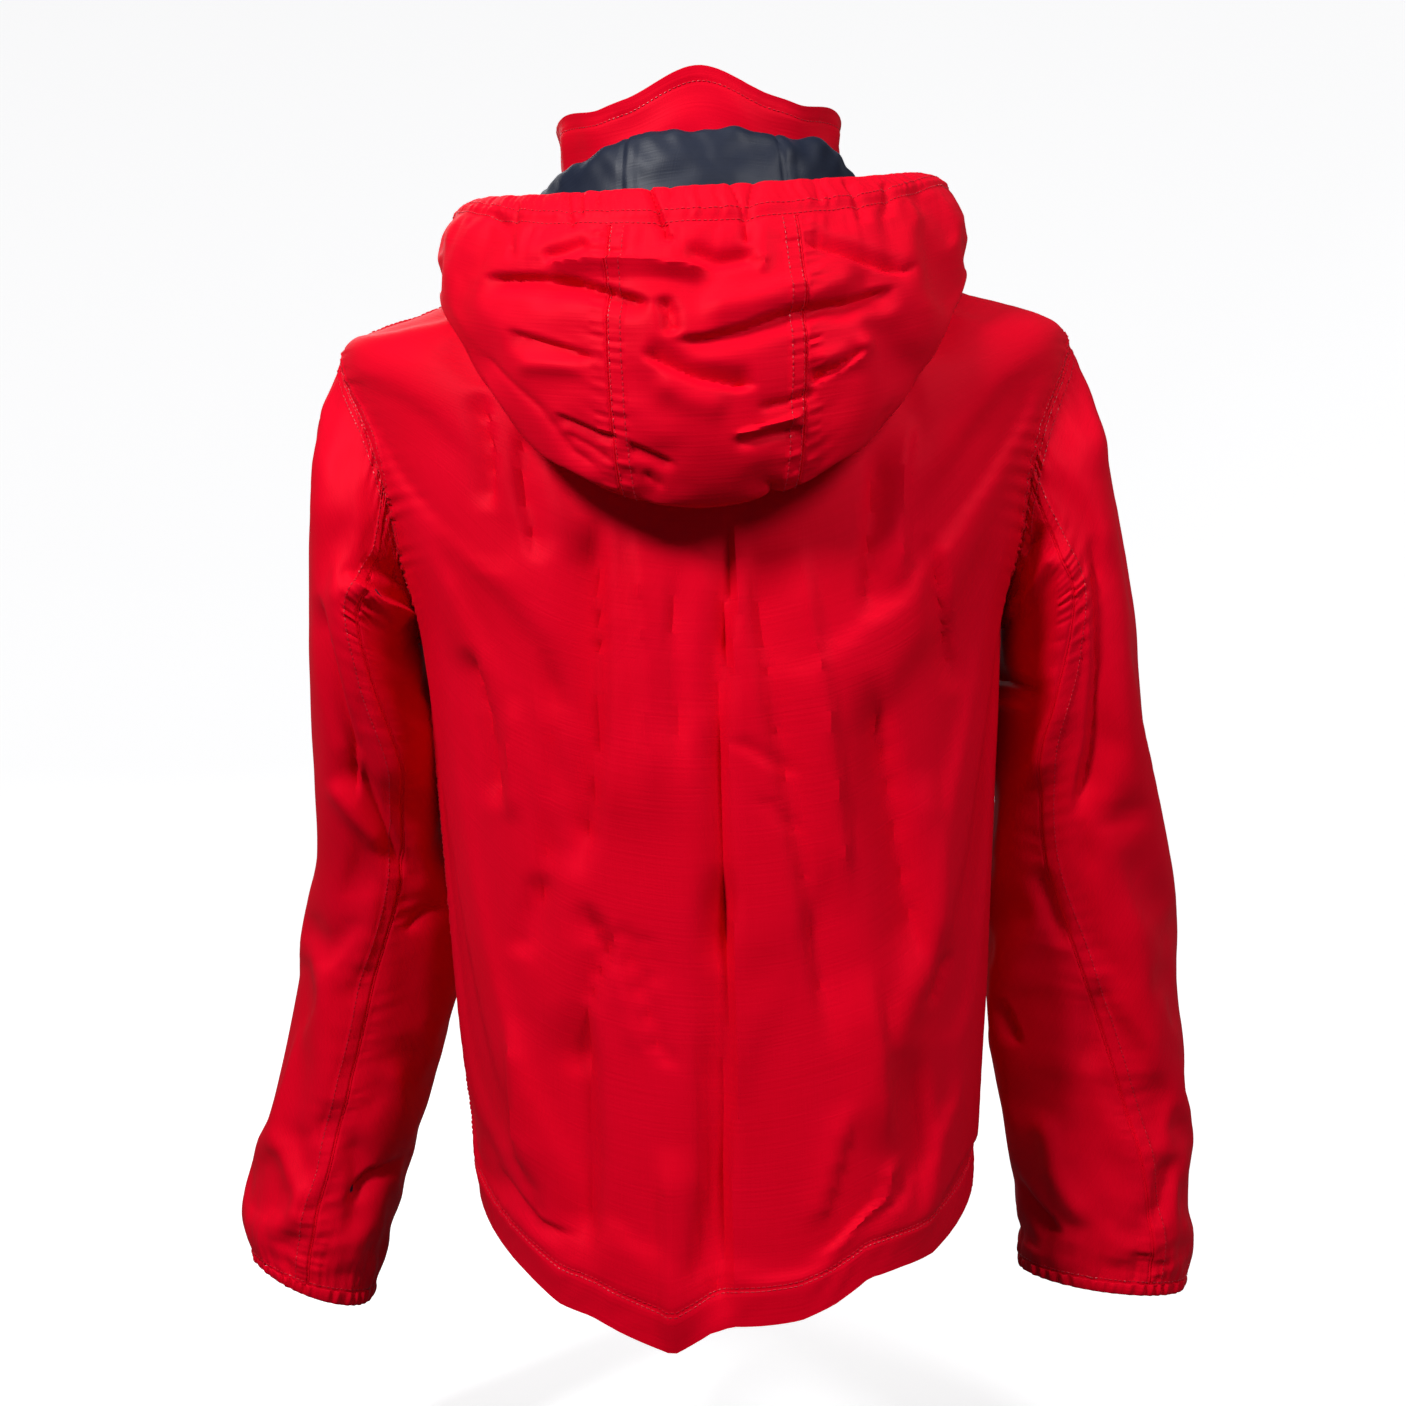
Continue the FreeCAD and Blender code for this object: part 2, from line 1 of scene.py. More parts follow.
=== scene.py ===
"""The looks of a red hooded foul weather jacket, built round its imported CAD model.

Surfaces are worked out in millimetres and written to meshes in metres. The tables follow the CAD
source's, except for three shapes: the hood's edge and sides, the sleeves' back seams and the back's hem
each differ from it, by up to 17 mm. +Z is up, the wearer faces -Y and the wearer's left is +X."""

import math

import bpy
import numpy as np
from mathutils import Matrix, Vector


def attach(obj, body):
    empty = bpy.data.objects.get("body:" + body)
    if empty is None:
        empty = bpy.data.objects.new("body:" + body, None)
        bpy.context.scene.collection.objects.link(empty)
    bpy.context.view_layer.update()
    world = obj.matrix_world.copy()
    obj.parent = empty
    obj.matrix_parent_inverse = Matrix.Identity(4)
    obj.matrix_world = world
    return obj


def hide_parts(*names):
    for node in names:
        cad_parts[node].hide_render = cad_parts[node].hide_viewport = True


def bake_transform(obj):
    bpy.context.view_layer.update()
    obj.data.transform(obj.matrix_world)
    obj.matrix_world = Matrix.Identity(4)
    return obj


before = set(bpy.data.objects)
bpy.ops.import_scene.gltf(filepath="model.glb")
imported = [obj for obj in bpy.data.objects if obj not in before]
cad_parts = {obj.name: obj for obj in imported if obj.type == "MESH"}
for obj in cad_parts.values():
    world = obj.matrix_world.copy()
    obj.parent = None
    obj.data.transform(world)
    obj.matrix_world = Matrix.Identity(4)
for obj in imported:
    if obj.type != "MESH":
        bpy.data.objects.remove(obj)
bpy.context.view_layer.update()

MM = 0.001
CAMERA_ROLL = 1.5  # degrees
SETTLE_FRAMES = 14
NARROWEST_SHEET = 0.0101  # metres; anything narrower is a tape, not a sheet
SHELL_THICKNESS = 1.3
LINING_DEPTH = 7.0
LINING_THICKNESS = 0.9

# ---------------------------------------------------------------- tables of the shape
TORSO_POWER = 2.35
BODY = [
    (80, 74, 76, 2, 4, -28, 2.0),
    (122, 96, 88, -14, -22, -55, 2.05),
    (180, 117, 106, -35, -64, -92, 2.1),
    (231, 131, 122, -58, -112, -136, 2.15),
    (224, 139, 132, -115, -160, -179, 2.2),
    (205, 142, 137, -180, -212, -225, 2.3),
    (186, 142, 137, -238, -262, -270, TORSO_POWER),
    (179, 139, 137, -312, -325, -330, TORSO_POWER),
    (173, 137, 137, -400, -408, -410, TORSO_POWER),
    (168, 138, 137, -476, -496, -494, TORSO_POWER),
    (162, 141, 137, -542, -584, -576, TORSO_POWER),
    (158, 144, 137, -594, -655, -640, TORSO_POWER),
]
COLLAR = [(80, 74, 76, 3, 5, -27, 2.0), (88, 82, 81, 42, 50, 13, 2.0), (92, 85, 85, 82, 94, 54, 2.0)]
SLEEVES = {
    "left": [
        (193, -239, 239, -60, 0, 60, 14),
        (193, -243, 249, -95, -2, 68, 7),
        (192, -249, 256, -140, -6, 73, 3),
        (190, -257, 260, -195, -12, 76, 0),
        (187, -280, 263, -258, -20, 76, 0),
        (180, -334, 266, -327, -34, 70, 0),
        (176, -396, 272, -392, -48, 60, 0),
        (174, -455, 286, -455, -54, 51, 0),
        (190, -515, 301, -522, -54, 45, 0),
        (210, -580, 315, -580, -48, 42, 0),
        (226, -640, 324, -624, -42, 41, 0),
        (241, -684, 315, -650, -38, 38, 0),
    ],
    "right": [
        (193, -239, 239, -60, 0, 60, 14),
        (193, -243, 251, -95, -2, 68, 7),
        (192, -249, 259, -140, -6, 73, 3),
        (191, -257, 267, -195, -10, 75, 0),
        (190, -280, 276, -258, -16, 74, 0),
        (186, -334, 287, -327, -24, 69, 0),
        (180, -396, 298, -390, -32, 60, 0),
        (177, -455, 306, -453, -38, 51, 0),
        (179, -515, 311, -520, -40, 45, 0),
        (190, -580, 312, -582, -38, 42, 0),
        (194, -638, 311, -650, -36, 41, 0),
        (196, -672, 303, -687, -34, 38, 0),
    ],
}
HOOD = [
    (0, 172, -4, 193, 166, -181, 124, -55),
    (30, 166, 4, 192, 178, -149, 132, -40),
    (60, 156, 22, 180, 177, -50, 138, -8),
    (90, 147, 29, 156, 147, -8, 120, 7),
    (120, 120, 29, 127, 120, -9, 104, 6),
]
NECK_WALL = [
    (0, 99, 51, 115, -30),
    (30, 99, 49, 115, -20),
    (60, 99, 44, 113, -6),
    (90, 98, 33, 109, 3),
    (120, 95, 11, 102, -6),
]
TIP_LEVEL, UNDERARM_LEVEL, HEM_LEVEL, ARMHOLE_ANGLE = 3.0, 6.05, 11.0, 17.5
SLEEVE_END, CUFF_START, FRONT_SEAM = 11.0, 10.8, 228.0
BACK_SEAMS = {
    "left": [96, 112, 108, 101, 108, 120, 114, 98, 96, 96, 96, 96],
    "right": [96, 105, 103, 100, 109, 124, 121, 103, 88, 76, 68, 66],
}
HOOD_END, HOOD_SEAM, CASING_SHARE, HOOD_LIFT = 120.0, 16.5, 0.09, 5.0
ZIP_HALF, ZIP_DEPTH = 9.0, 3.9
POCKET_X, POCKET_Z, POCKET_DEPTH = (34.0, 126.0), (-598.0, -436.0), 15.0
FLAP_X, FLAP_TOP, FLAP_DROP, FLAP_LIFT = (30.0, 130.0), -424.0, 58.0, 18.6


# ---------------------------------------------------------------- surfaces
def table_values(rows, level):
    """Smooth rows of a table at fractional row numbers."""
    table = np.array(rows, float)
    last = len(table) - 1
    level = np.clip(np.asarray(level, float), 0, last)
    i = np.minimum(level.astype(int), last - 1)
    t = (level - i)[..., None]
    before = np.concatenate([2 * table[:1] - table[1:2], table[:-1]])
    after = np.concatenate([table[1:], 2 * table[-1:] - table[-2:-1]])
    a, b = table[i], table[i + 1]
    slope_a = (b - before[i]) / 2
    slope_b = (after[i + 1] - a) / 2
    return (
        a * (2 * t**3 - 3 * t**2 + 1)
        + slope_a * (t**3 - 2 * t**2 + t)
        + b * (3 * t**2 - 2 * t**3)
        + slope_b * (t**3 - t**2)
    )


def ring_surface(rows):
    def surface(level, degrees):
        level, degrees = np.broadcast_arrays(level, degrees)
        columns = np.moveaxis(table_values(rows, level), -1, 0)
        width, back, front, side_z, back_z, front_z, power = columns
        c, s = np.cos(np.radians(degrees)), np.sin(np.radians(degrees))
        depth = np.where(s > 0, back, front)
        end_z = np.where(s > 0, back_z, front_z)
        r = ((np.abs(c) / width) ** power + (np.abs(s) / depth) ** power) ** (-1 / power)
        x, y = r * c, r * s
        across, along = (x / width) ** 2, (y / depth) ** 2
        return np.stack([x, y, side_z + (end_z - side_z) * along / (across + along)], -1)

    return surface


body_surface = ring_surface(BODY)
collar_surface = ring_surface(COLLAR)


def smooth(t):
    t = np.clip(t, 0, 1)
    return t * t * (3 - 2 * t)


def armhole(level):
    share = np.clip((np.asarray(level, float) - TIP_LEVEL) / (UNDERARM_LEVEL - TIP_LEVEL), 0, 1)
    return ARMHOLE_ANGLE * np.abs(np.sin(np.pi * share)) ** 0.7


def angle_at_x(surface, level, x):
    """The angle at which a ring crosses x on the wearer's front."""
    low = np.full(np.shape(level), -90.0)
    high = np.zeros(np.shape(level))
    for _ in range(40):
        middle = (low + high) / 2
        less = surface(level, middle)[..., 0] < np.abs(x)
        low, high = np.where(less, middle, low), np.where(less, high, middle)
    angle = (low + high) / 2
    return np.where(np.asarray(x) < 0, -180 - angle, angle)


def sleeve_surface(name):
    """The sleeve by the CAD's table, with its first rings drawn to the body's armhole."""
    rows = SLEEVES[name]
    side = 1 if name == "left" else -1
    levels = np.linspace(TIP_LEVEL, UNDERARM_LEVEL, 200)
    heights = body_surface(levels, armhole(levels))[..., 2]
    shares = (heights - heights[-1]) / (heights[0] - heights[-1])

    def plain(level, degrees):
        level, degrees = np.broadcast_arrays(level, degrees)
        columns = np.moveaxis(table_values(rows, level), -1, 0)
        inner_x, inner_z, outer_x, outer_z, mid_y, depth, dish = columns
        c, s = np.cos(np.radians(degrees)), np.sin(np.radians(degrees))
        x = (inner_x + outer_x) / 2 + c * (outer_x - inner_x) / 2 - dish * s * s
        z = (inner_z + outer_z) / 2 + c * (outer_z - inner_z) / 2
        return np.stack([x, mid_y + s * depth, z], -1)

    def surface(level, degrees):
        level, degrees = np.broadcast_arrays(level, degrees)
        c, s = np.cos(np.radians(degrees)), np.sin(np.radians(degrees))
        at = np.interp(-(1 + c) / 2, -shares, levels)
        edge = body_surface(at, armhole(at) * np.sign(s))
        pull = (1 - smooth(level / 1.3))[..., None]
        points = plain(level, degrees) + (edge - plain(0.0, degrees)) * pull
        points[..., 0] *= side
        return points

    return surface


def back_seam(name, level):
    """The angle of the sleeve's back seam at a level."""
    return table_values([(angle,) for angle in BACK_SEAMS[name]], level)[..., 0]


def hood_station(rows, degrees):
    step = rows[1][0] - rows[0][0]
    mirrored = [(-rows[1][0], *rows[1][1:])] + list(rows)
    return np.moveaxis(table_values(mirrored, np.abs(degrees) / step + 1), -1, 0)


def profile_point(profile, t, degrees):
    """A point at share t of a smooth curve through (radius, z) pairs, turned about the neck."""
    r = np.stack([p[0] for p in profile], -1)
    z = np.stack([p[1] for p in profile], -1)
    last = len(profile) - 1
    level = np.clip(t, 0, 1) * last
    i = np.minimum(level.astype(int), last - 1)[..., None]
    s = level - i[..., 0]
    out = []
    for values in (r, z):
        ends = (2 * values[..., :1] - values[..., 1:2], 2 * values[..., -1:] - values[..., -2:-1])
        padded = np.concatenate([ends[0], values, ends[1]], -1)
        p0, p1, p2, p3 = (np.take_along_axis(padded, i + k, -1)[..., 0] for k in range(4))
        out.append(
            p1 * (2 * s**3 - 3 * s**2 + 1)
            + (p2 - p0) / 2 * (s**3 - 2 * s**2 + s)
            + p2 * (3 * s**2 - 2 * s**3)
            + (p3 - p1) / 2 * (s**3 - s**2)
        )
    r, z = out
    a = np.radians(90 + degrees)
    lift = HOOD_LIFT * np.cos(a) * np.minimum(r, 150) / 150
    return np.stack([r * np.cos(a), r * np.sin(a), z - lift], -1)


def hood_surface(t, degrees):
    t, degrees = np.broadcast_arrays(np.asarray(t, float), np.asarray(degrees, float))
    _, edge_r, edge_z, bulge, low_r, low_z, split_r, split_z = hood_station(HOOD, degrees)
    drop = edge_z - low_z
    rise = split_z - low_z
    profile = [
        (edge_r, edge_z),
        (edge_r + 0.75 * (bulge - edge_r), edge_z - 0.22 * drop),
        (bulge, edge_z - 0.52 * drop),
        (0.7 * bulge + 0.3 * low_r, edge_z - 0.83 * drop),
        (low_r, low_z),
        (0.62 * low_r + 0.38 * split_r, low_z + 0.23 * rise),
        (0.3 * low_r + 0.7 * split_r, low_z + 0.63 * rise),
        (split_r, split_z),
    ]
    return profile_point(profile, t, degrees)


def neck_wall_surface(t, degrees):
    t, degrees = np.broadcast_arrays(np.asarray(t, float), np.asarray(degrees, float))
    _, crest_r, crest_z, foot_r, foot_z = hood_station(NECK_WALL, degrees)
    seam = collar_surface(0.0, 90 + degrees)
    seam_r = np.hypot(seam[..., 0], seam[..., 1]) + 4
    seam_z = seam[..., 2] + 4
    rise, drop = crest_z - seam_z, crest_z - foot_z
    profile = [
        (seam_r, seam_z),
        (seam_r + 2.5, seam_z + 0.5 * rise),
        (0.45 * seam_r + 0.55 * crest_r, crest_z - 0.14 * rise),
        (crest_r, crest_z),
        (0.55 * crest_r + 0.45 * foot_r, crest_z - 0.1 * drop),
        (0.2 * crest_r + 0.8 * foot_r, crest_z - 0.45 * drop),
        (foot_r, foot_z),
    ]
    return profile_point(profile, t, degrees)


# ---------------------------------------------------------------- noise and folds
def ripple(s, wave, seed, spread=0.35):
    """An irregular wave along s, about one unit high, whose wavelength wanders round wave."""
    rng = np.random.default_rng(seed)
    total = np.zeros(np.shape(s))
    for _ in range(6):
        length = wave * (1 + spread * rng.uniform(-1, 1))
        total += np.sin(2 * np.pi * (s / length + rng.uniform()))
    swell = 0.65 + 0.35 * np.sin(2 * np.pi * (s / (wave * rng.uniform(7, 10)) + rng.uniform()))
    return total / 2.4 * swell


def lumps(points, size, seed, count=14):
    """Smooth lumps over space, about one unit high, with features about size apart."""
    rng = np.random.default_rng(seed)
    total = np.zeros(points.shape[:-1])
    for _ in range(count):
        direction = rng.normal(size=3)
        direction /= np.linalg.norm(direction) * size * rng.uniform(0.7, 1.5)
        total += np.sin(2 * np.pi * (points @ direction + rng.uniform()))
    return total / math.sqrt(count / 2)


def fold(points, line, width, height, kind="soft", ends=30.0):
    """The height of one fold over a surface. line is its (x, z) points as seen from behind.
    A soft fold is round, and a sharp one has a keen crest. A left one has a long flat slope on the
    viewer's left (or above, if it lies across) and a short steep one beyond; a right one the reverse."""
    p = points[..., [0, 2]]
    line = np.array(line, float)
    nearest = np.full(p.shape[:-1], 1e9)
    signed = np.zeros(p.shape[:-1])
    travelled = np.zeros(p.shape[:-1])
    total = 0.0
    for a, b in zip(line[:-1], line[1:]):
        d = b - a
        length = np.linalg.norm(d)
        t = np.clip((p - a) @ d / length**2, 0, 1)
        away = p - (a + t[..., None] * d)
        distance = np.linalg.norm(away, axis=-1)
        closer = distance < nearest
        side = np.sign(d[0] * away[..., 1] - d[1] * away[..., 0])
        nearest = np.where(closer, distance, nearest)
        signed = np.where(closer, distance * side, signed)
        travelled = np.where(closer, total + t * length, travelled)
        total += length
    ends = min(ends, total / 2)
    taper = smooth(travelled / ends) * smooth((total - travelled) / ends)
    x = signed / width
    if kind == "soft":
        shape = np.exp(-(x**2))
    elif kind == "sharp":
        shape = np.exp(-np.sqrt(x**2 + 0.02) * 1.5)
    else:
        run = line[-1] - line[0]
        gentle = -np.sign(run[1]) if abs(run[1]) > abs(run[0]) else np.sign(run[0])
        if kind == "right":
            gentle = -gentle
        x = x * gentle
        slope = np.where(x > 0, 1 - 0.6 * x, 1 + 2.2 * x)
        shape = np.log1p(np.exp(np.clip(slope, -4, 1) * 9)) / np.log1p(np.exp(9))
    return height * shape * taper


def folds_over(points, folds):
    total = np.zeros(points.shape[:-1])
    for each in folds:
        total += fold(points, *each)
    return total


# ---------------------------------------------------------------- cloth settling
def grid_faces(rows, columns, first=0, closed=False):
    """Quads over a grid of points; closed joins the last column to the first."""
    r = np.arange(rows - 1)[:, None] * columns
    c = np.arange(columns if closed else columns - 1)[None, :]
    following = (c + 1) % columns
    faces = np.stack([r + c, r + following, r + columns + following, r + columns + c], -1)
    return faces.reshape(-1, 4) + first


def mesh_from(name, points, faces):
    """A mesh in metres from points in millimetres and four-cornered faces."""
    mesh = bpy.data.meshes.new(name)
    mesh.vertices.add(len(points))
    mesh.vertices.foreach_set("co", (points * MM).astype(np.float32).ravel())
    mesh.loops.add(4 * len(faces))
    mesh.loops.foreach_set("vertex_index", faces.astype(np.int32).ravel())
    mesh.polygons.add(len(faces))
    mesh.polygons.foreach_set("loop_start", np.arange(0, 4 * len(faces), 4, dtype=np.int32))
    mesh.update(calc_edges=True)
    return mesh


def settle(name, points, held, closed, slack, frames, gravity, cap):
    """Lets a skin of cloth, cut a little too large and held where it is sewn, buckle and sag.
    Returns how far each point moved, in millimetres and no more than cap."""
    rows, columns = points.shape[:2]
    mesh = mesh_from(name, points.reshape(-1, 3), grid_faces(rows, columns, closed=closed))
    skin = bpy.data.objects.new(name, mesh)
    bpy.context.scene.collection.objects.link(skin)
    group = skin.vertex_groups.new(name="held")
    for step in range(1, 11):
        chosen = np.nonzero((np.round(held.ravel() * 10)) == step)[0]
        if len(chosen):
            group.add(chosen.tolist(), step / 10, "REPLACE")
    cloth = skin.modifiers.new("cloth", "CLOTH")
    settings = cloth.settings
    settings.quality = 6
    settings.mass = 0.12
    settings.tension_stiffness = 20
    settings.compression_stiffness = 20
    settings.shear_stiffness = 8
    settings.bending_stiffness = 4.0
    settings.air_damping = 2
    settings.pin_stiffness = 1
    settings.vertex_group_mass = "held"
    settings.shrink_min = -slack
    settings.effector_weights.gravity = gravity
    cloth.collision_settings.use_collision = False
    cloth.point_cache.frame_start = 1
    cloth.point_cache.frame_end = frames
    scene = bpy.context.scene
    for number in range(1, frames + 1):
        scene.frame_set(number)
    shape = skin.evaluated_get(bpy.context.evaluated_depsgraph_get()).to_mesh()
    settled = np.zeros(len(shape.vertices) * 3, np.float32)
    shape.vertices.foreach_get("co", settled)
    settled = settled.reshape(points.shape).astype(float) / MM
    bpy.data.objects.remove(skin)
    bpy.data.meshes.remove(mesh)
    scene.frame_set(1)
    moved = soften(settled - points, 1, closed)
    moved = moved - 0.9 * soften(moved, 60, closed)
    length = np.linalg.norm(moved, axis=-1, keepdims=True)
    return moved * (cap * np.tanh(length / cap) / np.maximum(length, 1e-9))


def soften(values, passes, closed):
    """Blurs a grid of vectors a little on each pass."""
    for _ in range(passes):
        for axis in (0, 1):
            wide = [(0, 0)] * values.ndim
            wide[axis] = (1, 1)
            padded = np.pad(values, wide, mode="wrap" if closed and axis == 1 else "edge")
            count = values.shape[axis]
            before = np.take(padded, range(count), axis)
            after = np.take(padded, range(2, count + 2), axis)
            values = 0.5 * values + 0.25 * (before + after)
    return values


class Field:
    """A vector at each point of an even (u, v) grid, read smoothly in between."""

    def __init__(self, us, vs, values):
        self.us, self.vs, self.values = us, vs, values

    def at(self, u, v):
        rows, columns = self.values.shape[:2]
        fu = np.clip((u - self.us[0]) / (self.us[-1] - self.us[0]), 0, 1) * (rows - 1)
        fv = np.clip((v - self.vs[0]) / (self.vs[-1] - self.vs[0]), 0, 1) * (columns - 1)
        iu = np.minimum(fu.astype(int), rows - 2)
        iv = np.minimum(fv.astype(int), columns - 2)
        total = 0.0
        for a, wa in zip(range(-1, 3), cubic_weights(fu - iu)):
            for b, wb in zip(range(-1, 3), cubic_weights(fv - iv)):
                row, column = np.clip(iu + a, 0, rows - 1), np.clip(iv + b, 0, columns - 1)
                total = total + self.values[row, column] * (wa * wb)[..., None]
        return total


def cubic_weights(t):
    return (
        (-(t**3) + 2 * t**2 - t) / 2,
        (3 * t**3 - 5 * t**2 + 2) / 2,
        (-3 * t**3 + 4 * t**2 + t) / 2,
        (t**3 - t**2) / 2,
    )


# ---------------------------------------------------------------- panels
def with_normal(surface, u, v, sign):
    here = surface(u, v)
    along_u = surface(u + 0.01, v) - surface(u - 0.01, v)
    along_v = surface(u, v + 0.3) - surface(u, v - 0.3)
    normal = np.cross(along_u, along_v)
    return here, normal * sign / np.linalg.norm(normal, axis=-1, keepdims=True)


def grid_normals(points, sign):
    normal = np.cross(np.gradient(points, axis=0), np.gradient(points, axis=1))
    return normal * sign / np.maximum(np.linalg.norm(normal, axis=-1, keepdims=True), 1e-9)


def shares(count, dense=0.0):
    """Shares from 0 to 1, closer together at both ends as dense goes to 1."""
    t = np.linspace(0, 1, count)
    return t - dense * np.sin(2 * np.pi * t) / (2 * np.pi)


class Panel:
    """A panel of cloth: a grid over part of a surface, with its distances from each of its edges."""

    def __init__(self, surface, us, left, right, columns, sign=1, dense=0.8, depth=0.0):
        us = np.asarray(us, float)
        left = np.broadcast_to(left, us.shape)
        right = np.broadcast_to(right, us.shape)
        across = shares(columns, dense)
        self.sign = sign
        self.u = np.repeat(us[:, None], columns, 1)
        self.v = left[:, None] + (right - left)[:, None] * across
        self.base, self.normal = with_normal(surface, self.u, self.v, sign)
        self.base = self.base - self.normal * depth
        steps_v = np.linalg.norm(np.diff(self.base, axis=1), axis=-1)
        steps_u = np.linalg.norm(np.diff(self.base, axis=0), axis=-1)
        self.from_left = np.pad(np.cumsum(steps_v, 1), ((0, 0), (1, 0)))
        self.from_top = np.pad(np.cumsum(steps_u, 0), ((1, 0), (0, 0)))
        self.lift = np.zeros(self.u.shape)
        self.shift = np.zeros(self.base.shape)

    def distance(self, edge):
        if edge == "left":
            return self.from_left
        if edge == "right":
            return self.from_left[:, -1:] - self.from_left
        if edge == "top":
            return self.from_top
        return self.from_top[-1:] - self.from_top

    def along(self, edge):
        if edge == "left":
            return self.from_top[:, :1] + 0 * self.from_top
        if edge == "right":
            return self.from_top[:, -1:] + 0 * self.from_top
        row = 0 if edge == "top" else -1
        return self.from_left[row : row + 1 or None] + 0 * self.from_left

    def points(self):
        return self.base + self.shift + self.normal * self.lift[..., None]

    def line(self, edge, distance, lift=0.0):
        """Points and outward normals along the panel at a distance from one of its edges."""
        points = self.points()
        normals = grid_normals(points, self.sign)
        away = self.distance(edge)
        if edge in ("top", "bottom"):
            points, normals, away = (np.swapaxes(a, 0, 1) for a in (points, normals, away))
        if away[0, 0] > away[0, -1]:
            points, normals, away = points[:, ::-1], normals[:, ::-1], away[:, ::-1]
        rows, columns = away.shape
        i = np.clip((away < distance).sum(1) - 1, 0, columns - 2)
        r = np.arange(rows)
        t = (distance - away[r, i]) / np.maximum(away[r, i + 1] - away[r, i], 1e-9)
        t = np.clip(t, 0, 1)[:, None]
        at = points[r, i] * (1 - t) + points[r, i + 1] * t
        normal = normals[r, i] * (1 - t) + normals[r, i + 1] * t
        normal /= np.linalg.norm(normal, axis=1, keepdims=True)
        return at + normal * lift, normal


def seam(panel, edge, ditch=0.9, band=0.0, width=9.0, pucker=0.0, reach=0.0, wave=5.5, seed=1, where=1.0):
    """Works a sewn edge into a panel: a ditch at the join, a raised felled band beside it, close
    puckers inside the band, and longer ones that die out over reach."""
    d = panel.distance(edge)
    s = panel.along(edge)
    lift = -ditch * np.exp(-((d / 1.1) ** 2))
    lift += band * smooth((d - 0.6) / 1.2) * (1 - smooth((d - width) / 1.4))
    inside = smooth(d / 1.5) * (1 - smooth((d - width + 1) / 3.5))
    lift += pucker * inside * ripple(s, wave, seed) * where
    if reach:
        outside = smooth(d / 4) * np.exp(-((d / reach) ** 2))
        lift += 1.3 * pucker * outside * ripple(s + 0.25 * d, 2.4 * wave, seed + 1) * where
    panel.lift = panel.lift + lift * smooth(d / 0.8)


def gather(panel, edge, height, wave, reach, seed):
    """Ripples that run away from a gathered edge and die out over reach."""
    d = panel.distance(edge)
    s = panel.along(edge)
    near = ripple(s + 1.5 * np.sin(d / 9), wave, seed)
    far = ripple(s + 0.1 * d, 2.1 * wave, seed + 1)
    fade = np.exp(-d / reach)
    waves = near * np.exp(-d / (reach * 0.45)) + 0.8 * far * fade
    panel.lift = panel.lift + height * waves * smooth(d / 4)


# ---------------------------------------------------------------- meshes
def finish_mesh(obj, material):
    obj.data.materials.append(material)
    obj.data.polygons.foreach_set("use_smooth", np.ones(len(obj.data.polygons), bool))
    obj.data.set_sharp_from_angle(angle=math.radians(48))
    return obj


def add_object(name, points, faces, uv, material):
    mesh = mesh_from(name, points, faces)
    layer = mesh.uv_layers.new(name="UVMap")
    layer.data.foreach_set("uv", (uv[faces.ravel()] * MM).astype(np.float32).ravel())
    obj = bpy.data.objects.new(name, mesh)
    bpy.context.scene.collection.objects.link(obj)
    return finish_mesh(obj, material)


def sheet_object(name, panel, thickness, material, closed=False):
    """A closed thin sheet: the panel's face, its back, and the rim between them."""
    outer = panel.points()
    rows, columns = outer.shape[:2]
    normals = grid_normals(outer, panel.sign)
    if closed:
        normals[:, 0] = normals[:, -1] = (normals[:, 0] + normals[:, -1]) / 2
    inner = outer - normals * np.asarray(thickness)[..., None]
    uv = np.stack([panel.from_left, panel.from_top], -1)
    face = grid_faces(rows, columns)
    count = rows * columns
    if panel.sign < 0:
        face = face[:, ::-1]
    index = np.arange(count).reshape(rows, columns)
    rims = [index[0, ::-1], index[-1], index[:, 0], index[::-1, -1]]
    if closed:
        rims = rims[:2]
    sides = []
    for rim in rims:
        side = np.stack([rim[:-1], rim[1:], rim[1:] + count, rim[:-1] + count], -1)
        sides.append(side[:, ::-1] if panel.sign < 0 else side)
    faces = np.concatenate([face, face[:, ::-1] + count, *sides])
    points = np.concatenate([outer.reshape(-1, 3), inner.reshape(-1, 3)])
    obj = add_object(name, points, faces, np.concatenate([uv.reshape(-1, 2)] * 2), material)
    if closed:
        weld(obj)
    return obj


def weld(obj):
    modifier = obj.modifiers.new("weld", "WELD")
    modifier.merge_threshold = 0.00002


